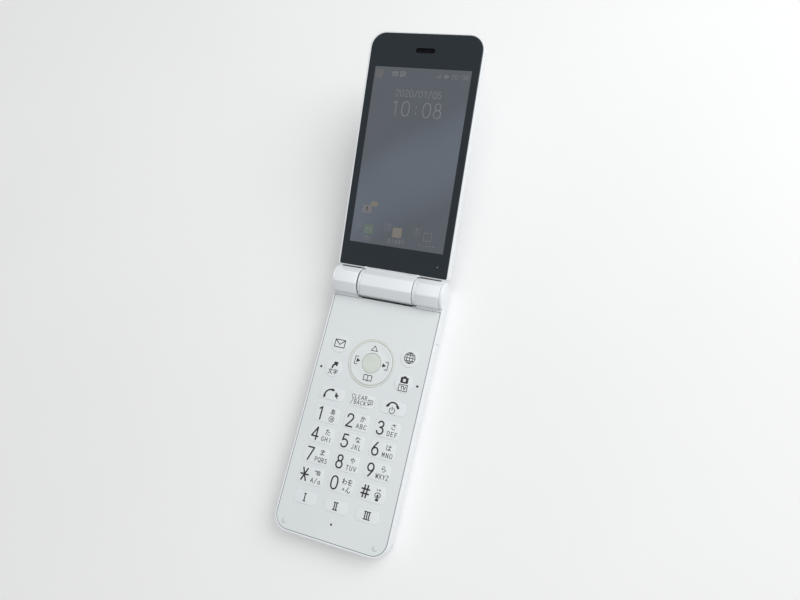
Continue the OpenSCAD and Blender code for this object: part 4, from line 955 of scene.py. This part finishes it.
# printed marks: strokes of x, y pairs on a grid ten units high, parted by "|"; a "~" makes a stroke smooth,
# and "*n" makes it n times as wide
strokes = {
    "0": "~3 10 5.1 8.6 5.7 5 5.1 1.4 3 0 0.9 1.4 0.3 5 0.9 8.6 3 10",
    "1": "1.5 8.5 3.5 10 3.5 0",
    "2": "~0.6 7.4 1.1 9.2 3 10 4.9 9.2 5.4 7.5 4.7 5.6 2.6 2.8 0.4 0|0.4 0 5.7 0",
    "3": "~0.8 8.4 1.6 9.6 3 10 4.7 9.2 5.1 7.6 4.4 6 2.5 5.3|"
         "~2.5 5.3 4.6 4.8 5.6 2.8 4.8 0.8 2.9 0 1.2 0.5 0.4 2",
    "4": "4.4 0 4.4 10 0.3 2.6 5.9 2.6",
    "5": "5 10 1.5 10 0.9 5.4|~0.9 5.4 2.9 6.2 4.9 5.2 5.6 3.2 4.8 1 2.8 0 1.1 0.5 0.3 1.8",
    "6": "~3.9 10 1.9 6.9 0.7 4.5 0.5 2.6 1.4 0.6 3 0 4.7 0.7 5.5 2.9 4.7 5.1 3 5.8 1.5 5.2 0.7 3.8",
    "7": "0.4 10 5.7 10 2 0",
    "8": "~3 10 4.6 9.3 5 7.7 4.4 6.1 3 5.4 1.6 6.1 1 7.7 1.4 9.3 3 10|"
         "~3 5.4 4.9 4.6 5.6 2.7 4.8 0.7 3 0 1.2 0.7 0.4 2.7 1.1 4.6 3 5.4",
    "9": "~2.1 0 4.1 3.1 5.3 5.5 5.5 7.4 4.6 9.4 3 10 1.3 9.3 0.5 7.1 1.3 4.9 3 4.2 4.5 4.8 5.3 6.2",
    "*": "1 9.7 5 0.3|5 9.7 1 0.3|-0.3 5 6.3 5",
    "#": "1.5 0.4 2.3 9.6|4 0.4 4.8 9.6|0 6.7 6.3 6.7|-0.1 3.3 6.2 3.3",
    "A": "0 0 3 10 6 0|1 3.4 5 3.4",
    "B": "0.6 0 0.6 10 3.8 10 5 9 5 6.4 3.8 5.3 0.6 5.3|3.8 5.3 5.5 4 5.5 1.3 4 0 0.6 0",
    "C": "~5.7 8 4.6 9.6 3.2 10 1.2 8.8 0.4 5 1.2 1.2 3.2 0 4.6 0.4 5.7 2",
    "D": "0.6 0 0.6 10 3.2 10 5 8.6 5.6 5 5 1.4 3.2 0 0.6 0",
    "E": "5 10 0.7 10 0.7 0 5 0|0.7 5.2 4.4 5.2",
    "F": "5 10 0.7 10 0.7 0|0.7 5.2 4.4 5.2",
    "G": "~5.6 8.2 4.6 9.6 3.2 10 1.2 8.8 0.4 5 1.2 1.2 3.2 0 5 0.8 5.7 2.4|5.7 2.4 5.7 4.8 3.6 4.8",
    "H": "0.6 0 0.6 10|5.4 0 5.4 10|0.6 5.2 5.4 5.2",
    "I": "3 0 3 10",
    "J": "~4.6 10 4.6 5 4.5 2 3.4 0.2 1.8 0.2 0.8 1.6",
    "K": "0.7 0 0.7 10|5.4 10 0.7 4.4|2.4 6.3 5.6 0",
    "L": "0.8 10 0.8 0 5 0",
    "M": "0.3 0 0.8 10 3 3 5.2 10 5.7 0",
    "N": "0.6 0 0.6 10 5.4 0 5.4 10",
    "O": "~3 10 5 8.9 5.8 5 5 1.1 3 0 1 1.1 0.2 5 1 8.9 3 10",
    "P": "0.7 0 0.7 10 3.8 10 5.2 8.9 5.2 6.3 3.8 5 0.7 5",
    "Q": "~3 10 5 8.9 5.8 5 5 1.1 3 0 1 1.1 0.2 5 1 8.9 3 10|3.6 2.4 5.8 -0.6",
    "R": "0.7 0 0.7 10 3.8 10 5.2 8.9 5.2 6.3 3.8 5 0.7 5|3.2 5 5.4 0",
    "S": "~5 8.4 4 9.7 2.8 10 1.2 9.2 0.9 7.6 1.8 6 4.2 4.6 5.2 2.8 4.6 0.8 2.9 0 1.5 0.3 0.5 1.7",
    "T": "0.2 10 5.8 10|3 10 3 0",
    "U": "~0.6 10 0.6 4 1.2 1 3 0 4.8 1 5.4 4 5.4 10",
    "V": "0.2 10 3 0 5.8 10",
    "W": "0 10 1.5 0 3 8 4.5 0 6 10",
    "X": "0.4 10 5.6 0|5.6 10 0.4 0",
    "Y": "0.2 10 3 5 5.8 10|3 5 3 0",
    "Z": "0.5 10 5.5 10 0.5 0 5.5 0",
    "a": "~4.8 5.6 3 6.6 1 5.6 0.4 3.2 1 0.8 2.8 0 4.8 1.4|4.8 6.4 4.8 0",
    "/": "0.6 -1 5 11",
    "+": "3 1.5 3 7.5|0 4.5 6 4.5",
    ":": "*1.4 3 6.6 3 6.8|*1.4 3 2.2 3 2.4",
    "-": "1 5 5 5",
    "at": "~8.6 1.6 6.8 0.3 4.8 0 1.8 1.2 0.2 4.8 1.6 8.6 5 10 8.4 8.6 9.8 5.4 8.8 2.8 7.2 3 6.8 5 7 7.2|"
          "~6.8 5.4 5.8 7 4.2 6.8 3.2 5 3.8 3.2 5.4 3.2 6.8 5",
    "one": "1.4 10 4.6 10|1.4 0 4.6 0|*1.3 3 0 3 10",
    "two": "-0.2 10 6.2 10|-0.2 0 6.2 0|*1.3 1.5 0 1.5 10|*1.3 4.5 0 4.5 10",
    "three": "-1.6 10 7.6 10|-1.6 0 7.6 0|*1.3 0 0 0 10|*1.3 3 0 3 10|*1.3 6 0 6 10",
    "kanaA": "1.2 8 8.6 8.4|~4 10 3.8 6 4.4 1.2|"
             "~7 6.6 5.6 3 3 0.8 1.4 1.4 1.2 3.2 3 5.2 6 5.8 8.4 4.6 8.8 2.4 7.4 0.8 5.8 0.2",
    "kanaKa": "~0.8 7 5.6 7.4 6.6 6.6 6.2 2.4 5 0.4 3.8 1|~3.8 10 3 5 0.8 0.4|7.2 8.8 9.4 5.6",
    "kanaSa": "1 7.6 8.8 8.4|~4.2 10 5.6 7 7.6 4.6|~2 3.6 2 1.6 3.6 0.4 6 0.2 8 0.5",
    "kanaTa": "0.8 7.8 6 8.2|~3.8 10 2.8 5 0.8 0.2|5.2 5 9 5.2|~4.8 2.2 5.4 0.8 7.2 0.3 9.4 0.6",
    "kanaNa": "0.8 7.8 5.4 8.2|~3.6 10 2.6 6.4 0.8 4|7 8.6 9.2 6.8|"
              "~6.6 6 6.6 2 5.2 0.6 3.4 0.8 3.2 2 4.8 2.8 7 2 9 0.6",
    "kanaHa": "~1.6 9.6 1 5 1.6 0.4|4 6.8 9.4 7.2|~7 9.8 7 2 5.6 0.4 4 0.8 4 2 5.6 2.6 7.6 1.8 9.4 0.4",
    "kanaMa": "1.2 8.2 8.8 8.2|1.6 5.8 8.4 5.8|~5.2 10 5.2 2 3.8 0.4 2 0.6 1.8 1.8 3.4 2.6 6 2 8.6 0.6",
    "kanaYa": "~0.6 5.6 5 7.4 8 7.2 9 5.4 7.8 3.8 6 3.8|4.8 9.8 5.8 8.4|~2.4 8.6 3.6 5 5.4 0.2",
    "kanaRa": "3.2 9.8 6.6 8.8|~2.2 7.4 1.8 3.6 4 5.2 6.6 5.6 8.4 4.4 8.2 2 6 0.4 3.2 0",
    "kanaWa": "2.8 10 2.8 0.2|~0.8 7.6 3.8 8.2 0.6 2 4.4 5.4 7.4 6 9 4.4 8.6 1.8 6 0.2",
    "kanaWo": "1.2 8.4 8 8.6|~4.8 10 3.6 6.6 1 4 4.4 5.4 5 3.4 5 2.2|"
              "~9 5.8 4.6 3.4 2.6 1.6 3.8 0.3 8.6 0.2",
    "kanaN": "~5.4 10 3 5 0.6 0.2 2.6 3.8 4 4.2 4.8 2 5.8 0.2 7.6 0.8 9.4 3.4",
    "bun": "5 10 5 8.4|0.8 8 9.2 8|~7.4 8 5 3 0.8 0|~2.6 8 5 3 9.4 0",
    "ji": "5 10 5 8.8|1 7 1 8.8 9 8.8 9 7|2.6 6.6 7.6 6.6 5.2 5|~5.2 5 5.4 1 4.6 0 3.4 0.4|0.6 3.6 9.4 3.6",
    "marks": "-0.4 8.8 1 7.2|1.8 9.4 3.2 7.8|4.6 2.6 10 2.6 10 9 4.6 9 4.6 2.6|6 7 8.6 7|6 4.9 8.6 4.9",
    "stops": "1.6 7.4 3 5.2|~7 7.6 8.2 6.4 7 5.2 5.8 6.4 7 7.6",
    "bulb": "~5 9.8 7.6 8.9 8.6 6.6 7.4 4.2 5 3.2 2.6 4.2 1.4 6.6 2.4 8.9 5 9.8|*2.6 5 5.2 5 6.4|"
            "*3 4.2 0.9 5.8 0.9",
    "alert": "*1.3 5 9 5 3.8|*1.5 5 1.2 5 1.4",
    "envelope": "0 1.4 10 1.4 10 8.6 0 8.6 0 1.4|0 8.6 5 4 10 8.6",
    "globe": "~5 10 8.5 8.5 10 5 8.5 1.5 5 0 1.5 1.5 0 5 1.5 8.5 5 10|~5 10 7.4 7.5 7.9 5 7.4 2.5 5 0|"
             "~5 10 2.6 7.5 2.1 5 2.6 2.5 5 0|0 5 10 5|1 7.6 9 7.6|1 2.4 9 2.4|5 0 5 10",
    "jump": "*1.8 ~2 0.6 2.6 4 5.6 6.8|*1.6 4.2 8.8 8.6 9 8 4.8 4.2 8.8|*2 6.4 8 7.4 7.4",
    "camera": "*2 1.2 7.2 8.8 7.2|*2 1.2 2 8.8 2|*2 1.2 2 1.2 7.2|*2 8.8 2 8.8 7.2|*1.5 2.6 2.6 2.6 6.6|"
              "*1.5 7.4 2.6 7.4 6.6|*1.6 3.8 8.7 6.2 8.7",
    "set": "0 1.4 10 1.4 10 8.6 0 8.6 0 1.4|2.2 6.8 5 6.8|3.6 6.8 3.6 3|5.6 6.8 6.9 3 8.2 6.8",
    "handset": "*1.3 ~0.4 4 2.2 6.4 5 7.4 7.8 6.4 9.6 4|*2 0.3 3.8 1.3 5|*2 9.7 3.8 8.7 5",
    "lifted": "*1.3 ~1.4 1.2 1.6 4.4 3.4 7 6.4 8.6 9.2 8.4|*2 1.3 1 1.3 2.4|*2 9.4 8.5 8 8.6",
    "power": "~3.2 8.4 1.2 6.6 0.8 3.8 2 1.4 5 0.2 8 1.4 9.2 3.8 8.8 6.6 6.8 8.4|5 10 5 5",
    "pointer": "2 9.6 2 2.4 7.6 4.4 2 9.6|*2 3.2 6.4 3.2 4.4|*2 3.6 4.8 5 4.8|*1.7 4.4 3.4 6.2 0.4",
    "memo": "0.6 2.4 9.4 2.4 9.4 9.6 0.6 9.6 0.6 2.4|2.6 2.4 1.6 0 5 2.4|3 7 7 7|3 4.8 7 4.8",
    "book": "~5 7.8 3 8.6 0.2 8.2|0.2 8.2 0.2 2.2|~0.2 2.2 3 2.6 5 1.6|~5 7.8 7 8.6 9.8 8.2|"
            "9.8 8.2 9.8 2.2|~9.8 2.2 7 2.6 5 1.6|5 7.8 5 1.6",
    "up": "5 8.6 0.2 1.4 9.8 1.4 5 8.6",
    "solidUp": "*2.4 5 6.6 3 3.4 7 3.4 5 6.6",
    "solidDown": "*2.4 5 3.4 3 6.6 7 6.6 5 3.4",
    "cameIn": "5.6 9.6 2 9.6 2 0.4 5.6 0.4|*1.5 4.6 6.6 4.6 3.4 7.6 5 4.6 6.6|*2.4 5.4 5.2 5.8 4.9",
    "wentOut": "4.6 9.6 8 9.6 8 0.4 4.6 0.4|*1.5 2 6.6 2 3.4 5 5 2 6.6|*2.4 2.8 5.2 3.2 4.9",
    "square": "1 1 9 1 9 9 1 9 1 1",
    "bars": "1 1 1 3|4 1 4 5|7 1 7 7|10 1 10 9",
    "cell": "0 2 8 2 8 8 0 8 0 2|*1.6 9 4.2 9 5.8|*3 2 5 6 5",
    "diary": "1 0.6 9 0.6 9 8.6 1 8.6 1 0.6|1 6.2 9 6.2|3 9.8 3 7.6|7 9.8 7 7.6",
}


# a smooth path through points: each span is a cubic whose end slopes come from the neighbouring points
def smoothPath(points, perSpan=7):
    closed = np.allclose(points[0], points[-1])
    if closed:
        b = points[:-1]
        a, c, d = np.roll(b, 1, 0), np.roll(b, -1, 0), np.roll(b, -2, 0)
    else:
        pad = np.vstack([2 * points[0] - points[1], points, 2 * points[-1] - points[-2]])
        a, b, c, d = pad[:-3], pad[1:-2], pad[2:-1], pad[3:]
    t = np.linspace(0, 1, perSpan, endpoint=False)[None, :, None]
    a, b, c, d = (p[:, None, :] for p in (a, b, c, d))
    square, cube = 2 * a - 5 * b + 4 * c - d, 3 * b - a - 3 * c + d
    path = 0.5 * (2 * b + (c - a) * t + square * t ** 2 + cube * t ** 3)
    return np.vstack([path.reshape(-1, 2), points[-1]])


bandSet = {"step": 0.3, "endSteps": 5, "closedSteps": 8, "tip": 0.1, "lift": 0.014, "rise": 0.003}


# a flat band along a path: its half width closes as a semicircle at both ends, or it joins itself on a closed
# path; its top lies a little over the surface
def ribbon(path, width, heightAt, lift):
    gone = np.r_[0, np.cumsum(np.hypot(*np.diff(path, axis=0).T))]
    total, half = gone[-1], width / 2
    closed = np.allclose(path[0], path[-1])
    count = max(2, int(np.ceil(total / bandSet["step"])) + 1)
    beyond = half * np.sin(np.linspace(0, np.pi / 2, bandSet["endSteps"]))[1:]
    along = np.r_[-beyond[::-1], np.linspace(0, total, count), total + beyond]
    if closed:
        along = np.linspace(0, total, count + bandSet["closedSteps"], endpoint=False)
    held = np.clip(along, 0, total)
    slope = np.gradient(path, gone, axis=0)
    mid = np.stack([np.interp(held, gone, path[:, k]) for k in (0, 1)], 1)
    lead = np.stack([np.interp(held, gone, slope[:, k]) for k in (0, 1)], 1)
    if closed:
        lead = np.roll(mid, -1, 0) - np.roll(mid, 1, 0)
    lead /= np.linalg.norm(lead, axis=1)[:, None]
    mid = mid + (along - held)[:, None] * lead
    wide = np.sqrt(np.maximum(half ** 2 - (along - held) ** 2, (bandSet["tip"] * half) ** 2))[:, None]
    across = np.stack([-lead[:, 1], lead[:, 0]], 1) * wide
    corners = [(mid + across, lift), (mid + across, -lift), (mid - across, -lift), (mid - across, lift)]
    rings = np.stack([np.column_stack([spots, heightAt(spots) + rise]) for spots, rise in corners], 1)
    return loft(rings, loop=closed)


signGrid = {"high": 10, "wide": 10, "narrow": 6, "narrowNames": ("one", "two", "three")}


# the bands of one sign, its grid scaled to a height and centred on a place
def signBands(sign, centre, height, width, heightAt, lift):
    narrow = len(sign) == 1 or sign in signGrid["narrowNames"]
    middle = [signGrid["narrow" if narrow else "wide"] / 2, signGrid["high"] / 2]
    bands = []
    for stroke in strokes[sign].split("|"):
        words = stroke.split()
        factor = float(words.pop(0)[1:]) if words[0].startswith("*") else 1.0
        points = np.array([float(word.lstrip("~")) for word in words]).reshape(-1, 2)
        points = (points - middle) * (height / signGrid["high"]) + centre
        straight = [points[k:k + 2] for k in range(len(points) - 1)]
        runs = [smoothPath(points)] if words[0].startswith("~") else straight
        for run in runs:  # each band lies a hair over the last, so that no two tops share a plane
            bands.append(ribbon(run, width * factor, heightAt, lift + bandSet["rise"] * len(bands)))
    return bands


# the bands of a list of marks about a place: (sign, shift, height, line), and for a word its pitch as well
def markBands(marks, origin, heightAt, lift=bandSet["lift"]):
    bands = []
    for text, shift, height, line, *pitch in marks:
        letters = text if pitch else [text]
        step = np.array([height * pitch[0] if pitch else 0.0, 0.0])
        start = np.add(origin, shift) - step * (len(letters) - 1) / 2
        for k, letter in enumerate(letters):
            bands += signBands(letter, start + k * step, height, line, heightAt, lift)
    return bands


inkSet = {"digit": 5.1, "digitLine": 0.63, "digitX": -2.9, "small": 1.8, "smallLine": 0.24, "smallX": 2.5,
          "smallY": -1.55, "kana": 2.2, "kanaLine": 0.26, "kanaY": 1.5, "kanaStep": 2.3,
          "pitch": 0.9, "closePitch": 0.8}


# a number key's marks: its digit at the left, its kana over its letters at the right
def numberMarks(digit, kana, letters):
    x = inkSet["smallX"]
    marks = [(digit, (inkSet["digitX"], 0), inkSet["digit"], inkSet["digitLine"])]
    for k, sign in enumerate(kana):
        shift = (k - (len(kana) - 1) / 2) * inkSet["kanaStep"]
        marks.append((sign, (x + shift, inkSet["kanaY"]), inkSet["kana"], inkSet["kanaLine"]))
    pitch = inkSet["pitch"] if len(letters) < 4 else inkSet["closePitch"]
    return marks + [(letters, (x, inkSet["smallY"]), inkSet["small"], inkSet["smallLine"], pitch)]


numberRows = {"1": (["kanaA"], ""), "2": (["kanaKa"], "ABC"), "3": (["kanaSa"], "DEF"),
              "4": (["kanaTa"], "GHI"), "5": (["kanaNa"], "JKL"), "6": (["kanaHa"], "MNO"),
              "7": (["kanaMa"], "PQRS"), "8": (["kanaYa"], "TUV"), "9": (["kanaRa"], "WXYZ"),
              "*": (["marks"], "A/a"), "0": (["kanaWa", "kanaWo"], ""), "#": (["stops"], "")}
signNames = {"*": "star", "#": "hash"}
keyMarks = {"key_" + signNames.get(digit, digit): numberMarks(digit, *row)
            for digit, row in numberRows.items()}
# more marks as (sign, shift from the middle, height, line width), with a pitch after a word
keyMarks["key_1"] += [("at", (2.5, -1.55), 2.3, 0.24)]
keyMarks["key_0"] += [("+", (1.5, -1.55), 1.6, 0.24), ("kanaN", (3.5, -1.55), 2.2, 0.26)]
keyMarks["key_hash"] += [("bulb", (2.5, -0.75), 3.1, 0.32)]
keyMarks.update({
    "key_mail": [("envelope", (0, 0), 4.5, 0.36)],
    "key_web": [("globe", (0, 0), 4.6, 0.29)],
    "key_text": [("jump", (0.2, 1.3), 2.8, 0.44), ("bun", (-1.15, -1.6), 2.1, 0.24),
                 ("ji", (1.15, -1.6), 2.1, 0.24)],
    "key_camera": [("camera", (0, 1.4), 3.5, 0.33), ("set", (0, -1.9), 3.6, 0.3)],
    "key_call": [("lifted", (-1.6, -0.1), 4.3, 0.5), ("pointer", (2.4, -0.5), 2.5, 0.26)],
    "key_clear": [("memo", (3.8, -0.3), 2.3, 0.22), ("CLEAR", (-1.3, 1.1), 1.7, 0.22, 0.84),
                  ("/BACK", (-1.3, -1.1), 1.7, 0.22, 0.84)],
    "key_end": [("handset", (0, 0.9), 5.0, 0.5), ("power", (0, -1.1), 2.7, 0.28)],
    "key_memory_1": [("one", (0, 0), 2.9, 0.36)],
    "key_memory_2": [("two", (0, 0), 2.9, 0.36)],
    "key_memory_3": [("three", (0, 0), 2.9, 0.36)],
})
navMarks = [("up", (0, 6.4), 2.9, 0.3), ("book", (0, -6.4), 3.7, 0.3), ("cameIn", (-6.3, 0.1), 3.6, 0.28),
            ("wentOut", (6.3, 0.1), 3.6, 0.28)]
panelMarks = [("solidUp", (-21.7, 11.42), 1.5, 0.22), ("solidDown", (21.65, 11.72), 1.5, 0.22)]


# height of the four-way ring's face at each point, from its distance to the middle
def navHeight(points):
    return dishHeight(np.hypot(*(np.asarray(points) - middleOf("nav_key")[:2]).T))


# a flat surface: one height for every point
def levelAt(height):
    return lambda points: np.full(len(points), height)


# the printed marks of the keys, the ring and the faceplate, each lying on its own surface
def legends():
    for name, marks in keyMarks.items():
        centre = middleOf(name)
        bands = markBands(marks, centre[:2], lambda points: crownHeight(points, centre))
        piece("legend_" + name, bands, "inkGrey", name)
    bands = markBands(navMarks, middleOf("nav_key")[:2], navHeight)
    piece("legend_nav_ring", bands, "inkGrey", "nav_key")
    bands = markBands(panelMarks, (0, 0), levelAt(panelHigh[2]))
    piece("legend_faceplate", bands, "inkGrey", "base")


# places on the lit area are (across, along) from its lower left corner; a tile has half its width and height
screenSet = {"lift": 0.012, "tileCorner": 0.5, "tileFoot": -0.02, "tileTop": 0.005,
             "marks": [("10:08", (21.0, 58.2), 6.0, 0.42, 0.78),
                       ("2020/01/05", (21.0, 64.6), 2.7, 0.26, 0.76),
                       ("TEL", (7.8, 2.3), 1.7, 0.2, 0.9), ("DIARY", (21.0, 2.3), 1.7, 0.2, 0.9),
                       ("-----", (34.6, 2.3), 1.7, 0.2, 0.9), ("10:08", (37.6, 72.4), 1.9, 0.18, 0.8),
                       ("1", (3.4, 8.0), 1.8, 0.18), ("3", (16.6, 8.0), 1.8, 0.18),
                       ("5", (29.6, 8.0), 1.8, 0.18),
                       ("bars", (28.4, 72.4), 1.9, 0.22), ("cell", (32.0, 72.4), 1.9, 0.18),
                       ("envelope", (9.4, 72.4), 2.2, 0.3), ("memo", (12.8, 72.4), 2.2, 0.3),
                       ("square", (34.6, 6.2), 4.2, 0.16), ("square", (3.4, 8.0), 3.4, 0.12),
                       ("square", (16.6, 8.0), 3.4, 0.12), ("square", (29.6, 8.0), 3.4, 0.12),
                       ("handset", (7.8, 6.4), 2.6, 0.3), ("diary", (21.0, 6.4), 2.6, 0.26)],
             "tiles": [("call", "iconGreen", (7.8, 6.2), (2.1, 2.1)),
                       ("diary", "iconSand", (21.0, 6.2), (2.1, 2.1)),
                       ("status", "iconPale", (2.3, 72.3), (1.7, 1.8)),
                       ("note", "iconMist", (5.8, 14.6), (2.2, 1.7)),
                       ("tag", "iconSand", (8.8, 17.1), (1.6, 1.0))],
             "alert": [("alert", (5.8, 14.6), 2.2, 0.3)]}


# the dim picture on the lit area: thin bands and tiles just over the glass
def screenPicture():
    corner, top = np.array([-glassSet["screenHalf"], glassSet["screenV0"]]), lidSet["glass"]
    marks = markBands(screenSet["marks"], corner, levelAt(top), screenSet["lift"])
    piece("screen_marks", marks, "screenInk", "lid", (), onLid)
    for name, finish, spot, (half, reach) in screenSet["tiles"]:
        x, v = corner + spot
        tile = plate(half, v - reach, v + reach, screenSet["tileCorner"], x=x, arc=5)
        edge = [(0, top + screenSet["tileFoot"]), (0, top + screenSet["tileTop"])]
        piece("screen_tile_" + name, [slab(tile, edge)], finish, "lid", (), onLid)
    alert = markBands(screenSet["alert"], corner, levelAt(top), screenSet["lift"])
    piece("screen_alert", alert, "glassDark", "lid", (), onLid)


legends()
screenPicture()
print("marks made")


# finishes of the solids that stay
solidSet = {"steel": ["dome_sheet", "shield_can", "vibration_motor", "charging_socket", "case_screws",
                      "lid_screws", "hinge_cartridge", "hinge_bush", "hinge_shaft", "nav_carrier"],
            "blackPlastic": ["loudspeaker", "microphone", "camera_module", "earpiece"],
            "boardGreen": ["main_board", "lid_board"], "cableFilm": ["cable_tail", "cable_coil"],
            "packGrey": ["battery_pack"], "glassDark": ["display_panel"], "aluminium": ["display_tray"]}


# every material of a solid becomes the finish
def finishSolid(name, finish):
    if not nodes[name].data.materials:
        nodes[name].data.materials.append(finish)
    for slot in nodes[name].material_slots:
        slot.material = finish


for finishName, solidNames in solidSet.items():
    for solidName in solidNames:
        finishSolid(solidName, finishes[finishName])
    print("solids finished:", finishName, len(solidNames))
